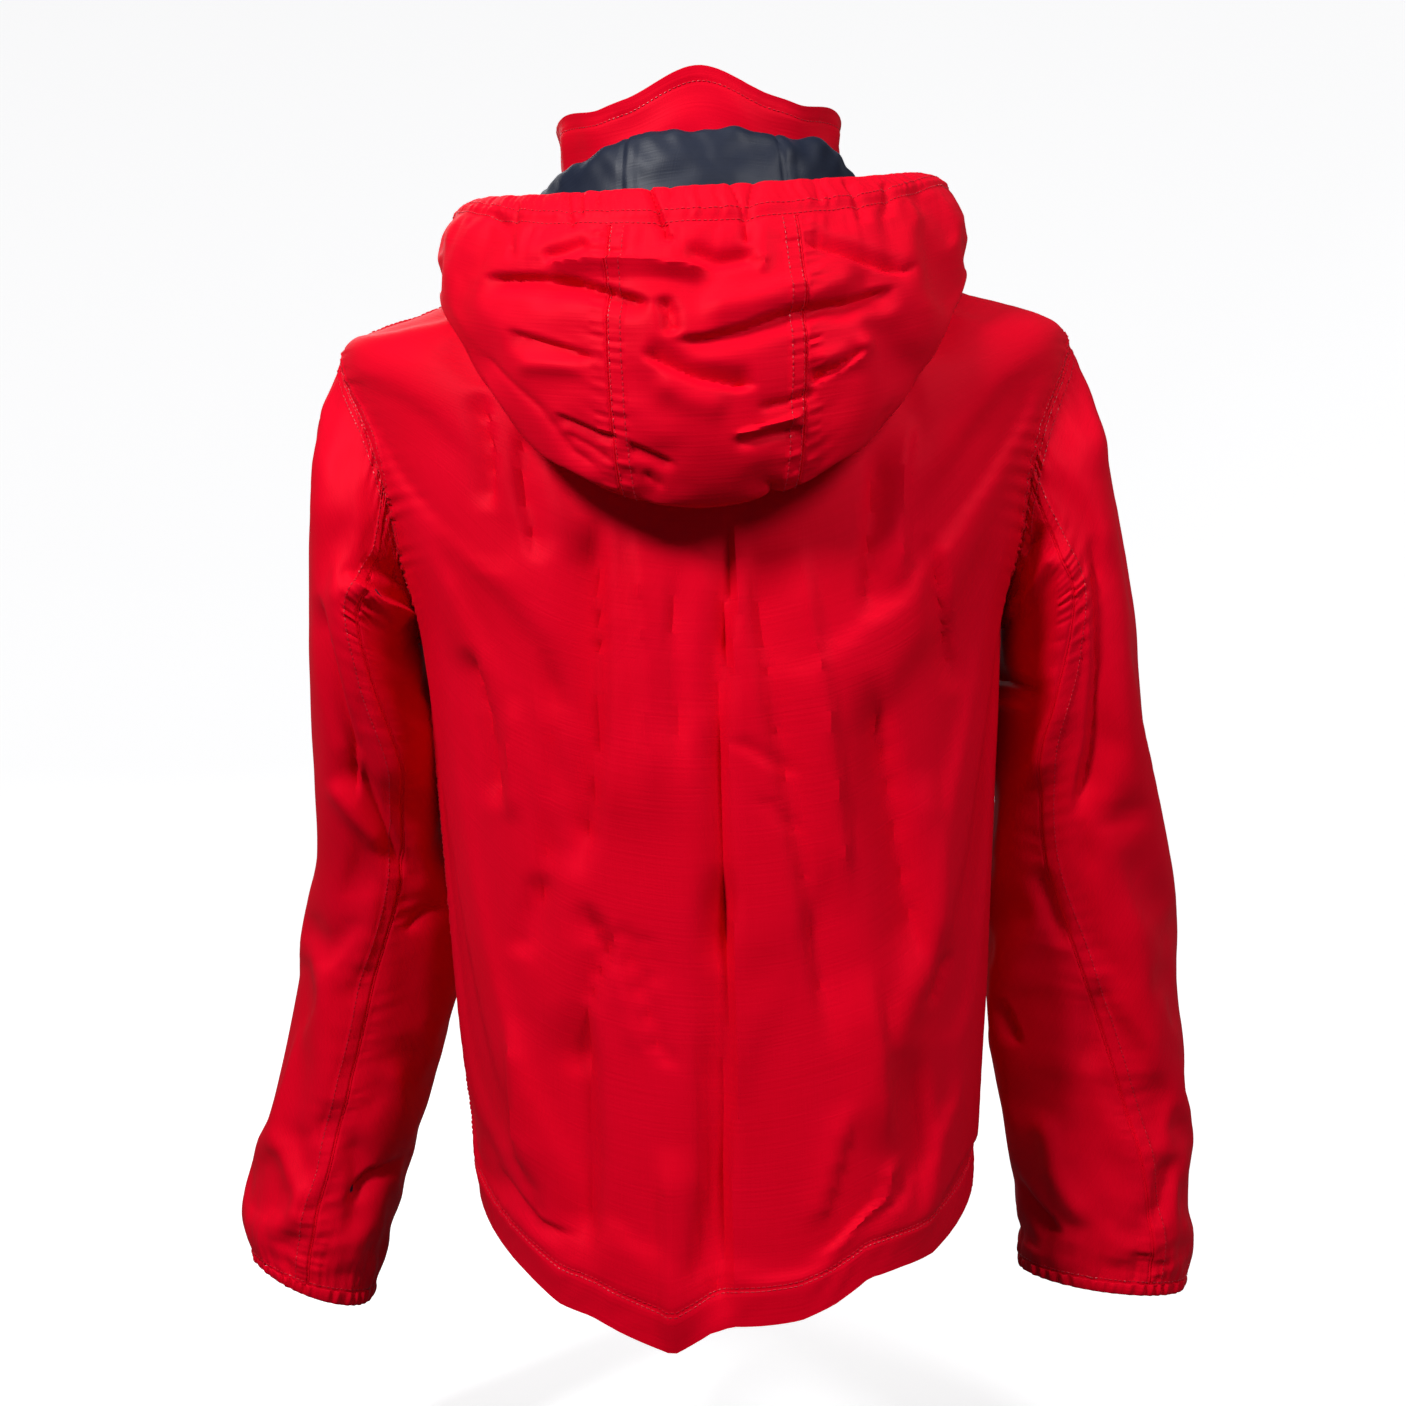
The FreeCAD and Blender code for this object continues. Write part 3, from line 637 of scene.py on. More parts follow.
class Stitching:
    """Collects the stitches of one body or blend into one mesh: each is a small sewn-in dash."""

    RING = 5
    PROFILE = ((-0.5, 0.35), (-0.28, 1.0), (0.28, 1.0), (0.5, 0.35))

    def __init__(self):
        self.points, self.faces, self.count = [], [], 0

    def row(self, line, pitch=3.1, length=2.3, radius=0.27):
        points, normals = line
        gaps = np.linalg.norm(np.diff(points, axis=0), axis=1)
        s = np.concatenate([[0], np.cumsum(gaps)])
        starts = np.arange(pitch / 2, s[-1] - pitch / 2, pitch)
        if len(starts) < 2:
            return
        centre = np.stack([np.interp(starts, s, points[:, k]) for k in range(3)], -1)
        ahead = np.stack([np.interp(starts + length / 2, s, points[:, k]) for k in range(3)], -1)
        behind = np.stack([np.interp(starts - length / 2, s, points[:, k]) for k in range(3)], -1)
        normal = np.stack([np.interp(starts, s, normals[:, k]) for k in range(3)], -1)
        along = ahead - behind
        along /= np.maximum(np.linalg.norm(along, axis=1, keepdims=True), 1e-9)
        across = np.cross(along, normal)
        across /= np.maximum(np.linalg.norm(across, axis=1, keepdims=True), 1e-9)
        normal = np.cross(across, along)
        rings = []
        for t, swell in self.PROFILE:
            for k in range(self.RING):
                a = 2 * np.pi * k / self.RING
                off = across * math.cos(a) * 1.25 + normal * (math.sin(a) * 0.9 + 0.25)
                rings.append(centre + along * (t * length) + off * radius * swell)
        dash = np.stack(rings, 1)
        n = self.RING
        faces = []
        for ring in range(len(self.PROFILE) - 1):
            for k in range(n):
                a, b = ring * n + k, ring * n + (k + 1) % n
                faces.append((a, b, b + n, a + n))
        last = (len(self.PROFILE) - 1) * n
        faces += [(0, 4, 3, 1), (last, last + 1, last + 3, last + 4)]
        faces += [(1, 3, 2, 2), (last + 1, last + 2, last + 3, last + 3)]
        faces = np.array(faces)
        size = len(self.PROFILE) * n
        offsets = self.count + size * np.arange(len(dash))
        self.points.append(dash.reshape(-1, 3))
        self.faces.append((faces[None] + offsets[:, None, None]).reshape(-1, 4))
        self.count += size * len(dash)

    def build(self, name, material, slot):
        points = np.concatenate(self.points)
        faces = np.concatenate(self.faces)
        mesh = bpy.data.meshes.new(name)
        tidy = [tuple(dict.fromkeys(f)) for f in faces.tolist()]
        mesh.from_pydata((points * MM).tolist(), [], tidy)
        obj = bpy.data.objects.new(name, mesh)
        bpy.context.scene.collection.objects.link(obj)
        return finish_mesh(obj, material)


# ---------------------------------------------------------------- materials
def new_material(name):
    material = bpy.data.materials.new(name)
    material.use_nodes = True
    nodes, links = material.node_tree.nodes, material.node_tree.links
    return material, nodes, links, nodes["Principled BSDF"]


def stretched_noise(nodes, links, source, scale, detail=2.0):
    """Noise over a coordinate that is scaled differently along each axis."""
    mapping = nodes.new("ShaderNodeMapping")
    mapping.inputs["Scale"].default_value = scale
    links.new(source, mapping.inputs["Vector"])
    noise = nodes.new("ShaderNodeTexNoise")
    noise.inputs["Scale"].default_value = 1.0
    noise.inputs["Detail"].default_value = detail
    links.new(mapping.outputs["Vector"], noise.inputs["Vector"])
    return noise.outputs["Fac"]


def weighted(nodes, links, a, b, factor_a, factor_b):
    """factor_a * a + factor_b * b."""
    scaled = nodes.new("ShaderNodeMath")
    scaled.operation = "MULTIPLY"
    scaled.inputs[1].default_value = factor_b
    links.new(b, scaled.inputs[0])
    total = nodes.new("ShaderNodeMath")
    total.operation = "MULTIPLY_ADD"
    total.inputs[1].default_value = factor_a
    links.new(a, total.inputs[0])
    links.new(scaled.outputs[0], total.inputs[2])
    return total.outputs[0]


def cloth_material(name, light, dark, rough, sheen, sheen_tint, weft, warp, relief, gloss_tint=(1, 1, 1)):
    """Woven cloth: uneven weft lines across, finer warp lines down, blotches of colour, and sheen."""
    material, nodes, links, shader = new_material(name)
    coordinate = nodes.new("ShaderNodeTexCoord")
    lines = stretched_noise(nodes, links, coordinate.outputs["UV"], (18, 1 / weft, 1))
    threads = stretched_noise(nodes, links, coordinate.outputs["UV"], (1 / warp, 30, 1))
    woven = weighted(nodes, links, lines, threads, 0.65, 0.35)
    blotch = stretched_noise(nodes, links, coordinate.outputs["Object"], (14, 14, 14), 4)
    tone = weighted(nodes, links, blotch, woven, 0.55, 0.45)
    ramp = nodes.new("ShaderNodeValToRGB")
    ramp.color_ramp.elements[0].position, ramp.color_ramp.elements[0].color = 0.3, (*dark, 1)
    ramp.color_ramp.elements[1].position, ramp.color_ramp.elements[1].color = 0.7, (*light, 1)
    links.new(tone, ramp.inputs["Fac"])
    links.new(ramp.outputs["Color"], shader.inputs["Base Color"])
    gloss = nodes.new("ShaderNodeMapRange")
    gloss.inputs["To Min"].default_value, gloss.inputs["To Max"].default_value = rough
    links.new(tone, gloss.inputs["Value"])
    links.new(gloss.outputs["Result"], shader.inputs["Roughness"])
    shader.inputs["Sheen Weight"].default_value = sheen
    shader.inputs["Sheen Roughness"].default_value = 0.35
    shader.inputs["Sheen Tint"].default_value = (*sheen_tint, 1)
    shader.inputs["Specular IOR Level"].default_value = 0.3
    shader.inputs["Specular Tint"].default_value = (*gloss_tint, 1)
    bump = nodes.new("ShaderNodeBump")
    bump.inputs["Strength"].default_value = relief
    bump.inputs["Distance"].default_value = 0.0006
    links.new(woven, bump.inputs["Height"])
    links.new(bump.outputs["Normal"], shader.inputs["Normal"])
    return material


def moulded_material(name, light, dark, rough, metal=0.0):
    """Moulded plastic or plated metal, with faint mottling and handling wear."""
    material, nodes, links, shader = new_material(name)
    coordinate = nodes.new("ShaderNodeTexCoord")
    grain = stretched_noise(nodes, links, coordinate.outputs["Object"], (900, 900, 900))
    wear = stretched_noise(nodes, links, coordinate.outputs["Object"], (120, 120, 120), 4)
    mix = weighted(nodes, links, wear, grain, 0.7, 0.3)
    ramp = nodes.new("ShaderNodeValToRGB")
    ramp.color_ramp.elements[0].position, ramp.color_ramp.elements[0].color = 0.35, (*dark, 1)
    ramp.color_ramp.elements[1].position, ramp.color_ramp.elements[1].color = 0.65, (*light, 1)
    links.new(mix, ramp.inputs["Fac"])
    links.new(ramp.outputs["Color"], shader.inputs["Base Color"])
    gloss = nodes.new("ShaderNodeMapRange")
    gloss.inputs["To Min"].default_value, gloss.inputs["To Max"].default_value = rough
    links.new(mix, gloss.inputs["Value"])
    links.new(gloss.outputs["Result"], shader.inputs["Roughness"])
    shader.inputs["Metallic"].default_value = metal
    bump = nodes.new("ShaderNodeBump")
    bump.inputs["Strength"].default_value = 0.12
    bump.inputs["Distance"].default_value = 0.0002
    links.new(grain, bump.inputs["Height"])
    links.new(bump.outputs["Normal"], shader.inputs["Normal"])
    return material


RED_LIGHT, RED_DARK = (0.80, 0.0004, 0.018), (0.70, 0.0003, 0.012)
RED_THREAD = (0.72, 0.004, 0.025)
NAVY_LIGHT, NAVY_DARK = (0.009, 0.014, 0.034), (0.005, 0.008, 0.02)
shell = cloth_material(
    "shell_cloth", RED_LIGHT, RED_DARK, (0.5, 0.64), 0.12, (1.0, 0.02, 0.06), 0.0016, 0.0011, 0.35,
    (1.0, 0.06, 0.12),
)
lining = cloth_material(
    "lining_cloth", NAVY_LIGHT, NAVY_DARK, (0.42, 0.58), 0.08, (0.5, 0.6, 0.9), 0.0012, 0.0009, 0.3
)
elastic = cloth_material(
    "elastic", (0.03, 0.035, 0.05), (0.015, 0.018, 0.03), (0.6, 0.8), 0.3, (0.8, 0.8, 0.9),
    0.0010, 0.0016, 0.8,
)
tape = cloth_material(
    "zip_tape", NAVY_LIGHT, NAVY_DARK, (0.55, 0.75), 0.3, (0.6, 0.7, 0.9), 0.0008, 0.0011, 0.8
)
label = cloth_material(
    "label", (0.75, 0.75, 0.72), (0.62, 0.62, 0.6), (0.5, 0.65), 0.2, (1, 1, 1), 0.0006, 0.0006, 0.5
)
thread = cloth_material(
    "red_thread", RED_THREAD, (0.5, 0.002, 0.014), (0.3, 0.45), 0.4, (1.0, 0.5, 0.55), 0.0004, 0.0004, 0.3
)
teeth_plastic = moulded_material("zip_plastic", (0.02, 0.03, 0.07), (0.012, 0.018, 0.045), (0.3, 0.45))
zip_metal = moulded_material("zip_metal", (0.42, 0.42, 0.44), (0.3, 0.3, 0.32), (0.25, 0.42), 1.0)
pull_plastic = moulded_material("pull_plastic", (0.025, 0.035, 0.08), (0.014, 0.02, 0.05), (0.35, 0.5))
snap_plastic = moulded_material("snap_cap", (0.5, 0.003, 0.02), (0.38, 0.002, 0.014), (0.28, 0.4))


# ---------------------------------------------------------------- folds, as (x, z) lines seen from behind
# each: line, width, height (negative for a valley), kind, length of the taper at its ends
TORSO_BACK_FOLDS = [
    ([(66, -170), (66, -250), (68, -310), (74, -350), (84, -395)], 17, -6.5, "left", 40),
    ([(44, -175), (42, -270), (40, -360)], 9, 2.6, "right", 50),
    ([(22, -200), (24, -260), (22, -340)], 8, -2.6, "right", 40),
    ([(-8, -170), (-10, -225), (-6, -262), (-3, -320), (-4, -400), (-1, -450)], 9, -5.0, "left", 30),
    ([(-4, -380), (-1, -450), (0, -520), (3, -580), (5, -655)], 10, -5.5, "left", 30),
    ([(-9, -200), (-6, -262), (-3, -320), (-4, -400), (0, -520), (5, -655)], 2.4, -2.2, "sharp", 30),
    ([(36, -540), (34, -600), (36, -660)], 14, 3.4, "right", 30),
    ([(-22, -190), (-34, -300), (-50, -400), (-64, -500)], 16, -4.0, "right", 50),
    ([(-50, -190), (-64, -300), (-76, -420)], 12, 3.0, "left", 50),
    ([(-92, -270), (-98, -310), (-105, -345), (-112, -400), (-122, -460)], 16, -5.5, "left", 40),
    ([(-122, -330), (-130, -400), (-134, -450)], 9, 2.4, "soft", 30),
    ([(-84, -440), (-92, -500), (-96, -560)], 16, 3.6, "left", 40),
    ([(-46, -335), (-26, -322), (-8, -310)], 5, -1.3, "left", 10),
    ([(-24, -340), (-46, -366)], 4, -1.2, "left", 10),
    ([(-50, -600), (-62, -560), (-74, -520)], 8, 2.0, "left", 20),
    ([(-98, -556), (-90, -588), (-72, -604), (-54, -618)], 5, 2.4, "right", 16),
    ([(-114, -490), (-118, -560), (-110, -610)], 14, -3.8, "left", 40),
    ([(-140, -440), (-124, -476)], 5, -2.2, "left", 12),
    ([(80, -400), (66, -430), (80, -468), (84, -510)], 9, -3.6, "left", 20),
    ([(82, -460), (80, -550), (84, -620)], 20, -6.0, "left", 40),
    ([(126, -470), (124, -540), (118, -575)], 10, 3.0, "right", 30),
    ([(60, -412), (51, -446), (39, -488), (29, -504)], 5, -2.0, "right", 16),
    ([(46, -418), (38, -442), (42, -456)], 4, -1.5, "sharp", 10),
    ([(64, -438), (54, -474), (49, -494)], 4, 1.6, "sharp", 14),
    ([(14, -470), (12, -560), (22, -640)], 9, -2.6, "right", 40),
    ([(146, -250), (136, -292), (129, -352)], 7, -4.6, "left", 20),
    ([(120, -280), (124, -360)], 6, 2.4, "right", 20),
    ([(98, -240), (96, -300), (104, -380), (114, -450)], 9, -2.8, "right", 40),
    ([(104, -385), (114, -412), (121, -440)], 6, -2.2, "soft", 14),
    ([(128, -552), (116, -572), (112, -592)], 4, -1.8, "sharp", 12),
    ([(140, -566), (112, -590), (90, -594)], 6, -2.0, "right", 14),
    ([(-128, -190), (-137, -240), (-146, -290)], 9, -3.6, "left", 25),
    ([(133, -100), (128, -140), (128, -176)], 8, -4.0, "left", 16),
    ([(110, -120), (110, -160), (102, -210)], 9, -3.0, "right", 20),
    ([(-98, -140), (-92, -185), (-88, -250)], 10, -3.0, "right", 25),
    ([(-120, -120), (-112, -170), (-110, -230)], 10, 2.6, "left", 25),
]
TORSO_FRONT_FOLDS = [
    ([(60, -170), (82, -300), (84, -400)], 12, -4.0, "left", 60),
    ([(-66, -180), (-80, -300), (-88, -410)], 12, -4.0, "right", 60),
    ([(120, -210), (90, -260), (60, -290)], 8, 3.0, "left", 40),
    ([(-120, -220), (-92, -262), (-60, -300)], 8, 3.0, "right", 40),
    ([(140, -300), (120, -350), (118, -400)], 9, -3.0, "soft", 30),
    ([(-140, -310), (-122, -350), (-116, -395)], 9, -3.0, "soft", 30),
    ([(30, -240), (36, -330), (30, -420)], 8, 2.5, "soft", 40),
    ([(-34, -250), (-30, -340), (-36, -420)], 8, -2.5, "soft", 40),
]
SLEEVE_FOLDS = {
    "left": [
        ([(224, -204), (205, -222), (184, -231)], 8, 6.5, "right", 14),
        ([(215, -196), (196, -206), (184, -212)], 5, -3.0, "soft", 10),
        ([(232, -192), (224, -240), (213, -300), (199, -352)], 10, 4.5, "soft", 30),
        ([(242, -214), (233, -268), (225, -312), (229, -350)], 8, -5.5, "left", 25),
        ([(224, -318), (213, -358), (202, -400)], 8, -4.5, "left", 20),
        ([(244, -330), (232, -352), (212, -382)], 6, 2.5, "soft", 14),
        ([(206, -436), (192, -421), (178, -416)], 4, -2.8, "sharp", 10),
        ([(198, -502), (184, -491), (166, -486)], 6, -5.0, "right", 12),
        ([(262, -430), (258, -500), (254, -570)], 12, 3.0, "soft", 40),
        ([(284, -440), (280, -520), (288, -600)], 10, -3.0, "soft", 40),
        ([(250, -612), (232, -594), (206, -588)], 7, -5.5, "right", 14),
        ([(246, -560), (240, -600), (246, -640)], 8, -3.0, "soft", 20),
        ([(222, -520), (208, -548), (206, -580)], 7, 2.6, "soft", 16),
        ([(300, -560), (282, -600), (280, -635)], 8, 2.6, "soft", 16),
        ([(246, -110), (238, -150), (240, -190)], 10, 2.4, "soft", 30),
    ],
    "right": [
        ([(-178, -226), (-194, -202), (-206, -184)], 5, -5.0, "sharp", 10),
        ([(-176, -240), (-200, -226), (-212, -200)], 5, 3.5, "soft", 10),
        ([(-178, -264), (-190, -280), (-207, -292)], 4.5, -4.0, "left", 10),
        ([(-176, -274), (-188, -291), (-204, -304)], 4.0, 3.0, "soft", 10),
        ([(-214, -188), (-218, -250), (-215, -300), (-202, -356)], 8, 5.0, "soft", 25),
        ([(-236, -190), (-237, -260), (-235, -320), (-226, -372)], 11, -6.0, "right", 30),
        ([(-204, -398), (-214, -430), (-224, -456)], 6, -3.0, "soft", 16),
        ([(-184, -488), (-196, -522)], 6, -4.5, "left", 12),
        ([(-178, -560), (-192, -612), (-218, -646)], 8, -5.0, "left", 18),
        ([(-206, -560), (-214, -600), (-232, -640)], 7, 3.0, "soft", 18),
        ([(-262, -400), (-270, -480), (-282, -560)], 14, 3.5, "soft", 50),
        ([(-250, -470), (-240, -500), (-236, -540)], 8, -2.5, "soft", 20),
        ([(-290, -590), (-276, -640)], 7, -2.8, "soft", 16),
        ([(-244, -110), (-240, -160)], 10, 2.4, "soft", 25),
    ],
}
HOOD_FOLDS = [
    ([(128, -44), (92, -50), (70, -57), (46, -67), (28, -74)], 7, -6.5, "right", 12),
    ([(90, -44), (60, -46), (20, -51), (-4, -54)], 5, 6.0, "right", 12),
    ([(92, -38), (78, -38), (62, -34)], 4, -3.5, "soft", 6),
    ([(24, -68), (19, -78), (18, -92)], 4, -5.5, "soft", 6),
    ([(20, -94), (0, -93), (-22, -88), (-48, -78), (-78, -72), (-108, -60)], 7, -5.5, "right", 14),
    ([(6, -78), (-20, -74), (-50, -66), (-90, -58)], 9, 4.0, "soft", 16),
    ([(36, -98), (20, -108), (4, -115), (-16, -119), (-28, -117)], 7, -6.0, "left", 10),
    ([(30, -112), (10, -124), (-14, -130)], 8, 3.0, "soft", 12),
    ([(12, -42), (-8, -50), (-30, -46)], 5, -4.5, "soft", 8),
    ([(-26, -46), (-33, -48), (-31, -58)], 3, 2.5, "sharp", 5),
    ([(-54, -38), (-80, -45), (-100, -50), (-114, -50)], 6, -5.0, "left", 10),
    ([(-104, -52), (-112, -50), (-120, -44)], 4, -3.0, "sharp", 5),
    ([(-56, -108), (-80, -100), (-96, -88)], 6, 4.0, "soft", 10),
    ([(-54, -118), (-72, -108), (-88, -96)], 5, -5.0, "left", 8),
    ([(-26, -131), (-44, -127), (-62, -120)], 3.5, -3.6, "sharp", 7),
    ([(-13, -144), (-34, -139), (-52, -134)], 3.5, 3.6, "right", 7),
    ([(-12, -149), (-34, -144), (-54, -141)], 3.5, -3.0, "soft", 7),
    ([(112, -79), (86, -90), (60, -101)], 6, -4.0, "right", 10),
    ([(108, -98), (80, -102), (62, -104)], 5, 2.5, "soft", 10),
    ([(132, -84), (112, -104), (92, -124), (76, -148), (60, -160)], 4, -2.6, "sharp", 14),
    ([(86, -127), (62, -140), (48, -144)], 4, -3.4, "right", 8),
    ([(82, -137), (66, -147), (52, -157)], 4, -3.0, "sharp", 8),
    ([(46, -146), (32, -153), (18, -160)], 4, -3.2, "right", 7),
    ([(38, -162), (25, -172)], 3.5, -2.6, "sharp", 5),
    ([(-35, -168), (-34, -182)], 3, -3.2, "sharp", 4),
    ([(-110, -100), (-126, -80), (-134, -55)], 10, 3.0, "soft", 16),
    ([(-100, -150), (-122, -122), (-136, -96)], 6, -2.6, "soft", 14),
    ([(76, 2), (72, -28)], 2.2, -3.0, "sharp", 6),
    ([(68, 2), (66, -22)], 2.0, -2.4, "sharp", 6),
    ([(58, 2), (57, -16)], 2.0, -2.0, "sharp", 5),
    ([(30, 0), (24, -20), (18, -40)], 2.8, -4.0, "left", 6),
    ([(18, 0), (16, -18)], 2.2, -2.2, "sharp", 5),
    ([(-14, 2), (-22, -22), (-24, -42)], 2.4, -2.8, "sharp", 6),
    ([(-30, 4), (-25, -20), (-24, -40)], 2.4, -2.8, "sharp", 6),
    ([(-62, 5), (-66, -16)], 2.4, -2.4, "sharp", 5),
    ([(-80, 5), (-92, -24)], 3.0, -2.4, "soft", 6),
    ([(-104, 6), (-106, -18)], 2.6, -2.2, "soft", 5),
    ([(104, 0), (110, -20), (108, -38)], 3.0, -2.8, "sharp", 6),
    ([(122, -2), (112, -16)], 3.0, -2.2, "soft", 5),
]
NECK_WALL_FOLDS = [
    ([(4, 38), (-14, 20), (-20, 10)], 5, -2.5, "sharp", 10),
    ([(40, 30), (20, 22)], 6, 2.0, "soft", 10),
]
# how far the back's hem hangs below its even line, at each x
HEM_X = (-150, -120, -100, -80, -60, -40, 0, 12, 33, 60, 80, 100, 120, 150)
HEM_DROP = (-4, -5, -12, -17, -11, -8, -10, -6, 8, 4, 1, 4, 0, -4)


# ---------------------------------------------------------------- settled skins
TORSO_FOLD_SCALE, SLEEVE_FOLD_SCALE = 1.6, 1.5


def torso_folds(points):
    back = smooth((points[..., 1] - 5) / 35)
    front = smooth((-points[..., 1] - 5) / 35)
    worked = back * folds_over(points, TORSO_BACK_FOLDS) + front * folds_over(points, TORSO_FRONT_FOLDS)
    return TORSO_FOLD_SCALE * worked


def sleeve_folds(name, points):
    outward = smooth((points[..., 1] + 40) / 35)
    x, y, z = np.abs(points[..., 0]), points[..., 1], points[..., 2]
    towards_body = smooth((215 - x) / 25) * np.exp(-(((z + 290) / 45) ** 2)) * np.exp(-(((y + 15) / 45) ** 2))
    return SLEEVE_FOLD_SCALE * outward * folds_over(points, SLEEVE_FOLDS[name]) + 5.0 * towards_body


def hood_folds(points):
    return smooth((points[..., 1] - 30) / 40) * folds_over(points, HOOD_FOLDS)


def skin_field(name, surface, us, vs, sign, folds, held, closed, slack, gravity, cap):
    """Lets a folded skin settle, and gives how far it moved as a field over (u, v)."""
    u, v = np.meshgrid(us, vs[:-1] if closed else vs, indexing="ij")
    base, normal = with_normal(surface, u, v, sign)
    free = 1 - held(u, v)
    start = base + normal * ((folds(base) + 0.35 * lumps(base, 30, len(name))) * free)[..., None]
    shift = np.zeros(base.shape)
    shift = free[..., None] * settle(name, start, held(u, v), closed, slack, SETTLE_FRAMES, gravity, cap)
    if closed:
        shift = np.concatenate([shift, shift[:, :1]], 1)
    return Field(us, vs, shift)


def held_near(value, at, width):
    return np.exp(-(((value - at) / width) ** 2))


def torso_held(u, v):
    turned = (v + 180) % 360 - 180
    from_side = np.minimum(np.abs(turned), 180 - np.abs(turned))
    hole = smooth((armhole(u) + 2.5 - from_side) / 2.5) * ((u > TIP_LEVEL - 0.1) & (u < UNDERARM_LEVEL + 0.1))
    placket = smooth(1.6 - np.abs(np.abs(turned) - 90) / 5) * (turned < 0)
    return np.clip(hole + placket + held_near(u, 0, 0.35) + 0.55 * held_near(u, HEM_LEVEL, 0.3), 0, 1)


def sleeve_held(u, v):
    seams = 0.5 * held_near(v, 105.0, 9) + 0.5 * held_near(v, FRONT_SEAM, 7)
    return np.clip(held_near(u, 0, 0.35) + 0.8 * held_near(u, SLEEVE_END, 0.3) + seams, 0, 1)


def hood_held(u, v):
    seams = 0.6 * (held_near(v, HOOD_SEAM, 3) + held_near(v, -HOOD_SEAM, 3))
    ends = held_near(np.abs(v), HOOD_END, 8)
    return np.clip(0.7 * held_near(u, 0, 0.07) + held_near(u, 1, 0.25) + seams + ends, 0, 1)


torso_field = skin_field(
    "torso_skin", body_surface, np.linspace(0, HEM_LEVEL, 96), np.linspace(-90, 270, 151), 1,
    torso_folds, torso_held, True, 0.012, 0.5, 2.0,
)
sleeve_surfaces = {name: sleeve_surface(name) for name in SLEEVES}
sleeve_fields = {
    name: skin_field(
        f"sleeve_skin_{name}", sleeve_surfaces[name], np.linspace(0, SLEEVE_END, 90), np.linspace(0, 360, 73),
        1 if name == "left" else -1, lambda p, name=name: sleeve_folds(name, p),
        sleeve_held, True, 0.022, 0.6, 3.5,
    )
    for name in SLEEVES
}
hood_field = skin_field(
    "hood_skin", hood_surface, np.linspace(0, 1, 70), np.linspace(-HOOD_END, HOOD_END, 121), 1,
    hood_folds, hood_held, False, 0.02, 0.3, 6.0,
)


def settled_panel(field, folds, surface, us, left, right, columns, sign=1, dense=0.8, depth=0.0, wrap=0.0):
    """A panel with its folds and its share of the settled shift. wrap is the turn after which the
    field's angles repeat, or 0."""
    panel = Panel(surface, us, left, right, columns, sign, dense, depth)
    v = panel.v
    if wrap:
        v = (v - field.vs[0]) % wrap + field.vs[0]
    panel.shift = panel.shift + field.at(panel.u, v)
    panel.lift = panel.lift + folds(panel.base)
    return panel


def torso_panel(us, left, right, columns, dense=0.8, depth=0.0):
    return settled_panel(
        torso_field, torso_folds, body_surface, us, left, right, columns, 1, dense, depth, 360
    )


def sleeve_panel(name, us, left, right, columns, dense=0.0, depth=0.0):
    def folds(points):
        return sleeve_folds(name, points)

    side = 1 if name == "left" else -1
    return settled_panel(
        sleeve_fields[name], folds, sleeve_surfaces[name], us, left, right, columns, side, dense, depth, 360
    )


def hood_panel(us, left, right, columns, dense=0.0, depth=0.0):
    return settled_panel(
        hood_field, hood_folds, hood_surface, us, left, right, columns, 1, dense, depth
    )


# ---------------------------------------------------------------- the garment's pieces
stitches = {key: Stitching() for key in ("garment", "left", "right", "hood", "flap_left", "flap_right")}


def declare(panel):
    """Works out a sheet's flat size from its unfolded base surface; nothing further is done with it."""
    spacing_v = np.linalg.norm(np.diff(panel.base, axis=1), axis=-1).sum(1)
    spacing_u = np.linalg.norm(np.diff(panel.base, axis=0), axis=-1).sum(0)
    width, length = round(spacing_v.max() * MM, 4), round(spacing_u.max() * MM, 4)
    if min(width, length) < NARROWEST_SHEET:
        return


def place(name, panel, thickness, material, body, nodes, closed=False):
    obj = sheet_object(f"sewn_{name}", panel, np.full(panel.u.shape, thickness), material, closed)
    if nodes:
        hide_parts(*nodes)
    declare(panel)
    tie(obj, body)
    return obj


BLENDS = {
    "left": ("garment", "sleeve_left", (0.193, 0, -0.239), (0.298, 0, -0.3455)),
    "right": ("garment", "sleeve_right", (-0.193, 0, -0.239), (-0.298, 0, -0.3455)),
    "bridge": ("garment", "hood", (0, 0.100, 0.020), (0, 0.150, -0.160)),
}


def tie(obj, body):
    if body in BLENDS:
        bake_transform(obj)
    else:
        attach(obj, body)


def torso_panels():
    us = np.linspace(0, HEM_LEVEL, 380)
    gap = armhole(us)
    sewn = smooth((us[:, None] - TIP_LEVEL) / 0.3) * (1 - smooth((us[:, None] - 6.0) / 0.5))
    low = smooth((us[:, None] - 4.3) / 0.8)
    worked = 0.35 + 0.65 * sewn * (0.45 + 0.75 * low)
    back = torso_panel(us, gap, 180 - gap, 170)
    edge = angle_at_x(body_surface, us, np.full(len(us), ZIP_HALF))
    other = angle_at_x(body_surface, us, np.full(len(us), -ZIP_HALF))
    front_left = torso_panel(us, edge, -gap, 90)
    front_right = torso_panel(us, gap - 180, other, 90)
    pieces = (
        ("back_panel", back, "left", "right"),
        ("front_panel_left", front_left, "right", None),
        ("front_panel_right", front_right, "left", None),
    )
    seed = 11
    for name, panel, *edges in pieces:
        panel.lift = panel.lift * fade_at_armholes(panel, edges)
        for edge_name in filter(None, edges):
            seam(panel, edge_name, 0.9, 0.7, 9, 0.75, 26, 5.5, seed, worked)
            seed += 7
        hang(panel)
        seam(panel, "top", 0.6, 0.0, 6, 0.3, 0, 8, seed)
        hem(panel, seed)
        place(name, panel, SHELL_THICKNESS, shell, "garment", [name])
        for edge_name in filter(None, edges):
            for distance in (1.9, 8.3):
                stitches["garment"].row(panel.line(edge_name, distance, 0.1))
        for distance in (20.0, 22.4):
            stitches["garment"].row(panel.line("bottom", distance, 0.05))
    for panel, edge_name in ((front_left, "left"), (front_right, "right")):
        stitches["garment"].row(panel.line(edge_name, 3.0, 0.05))
    return back, front_left, front_right


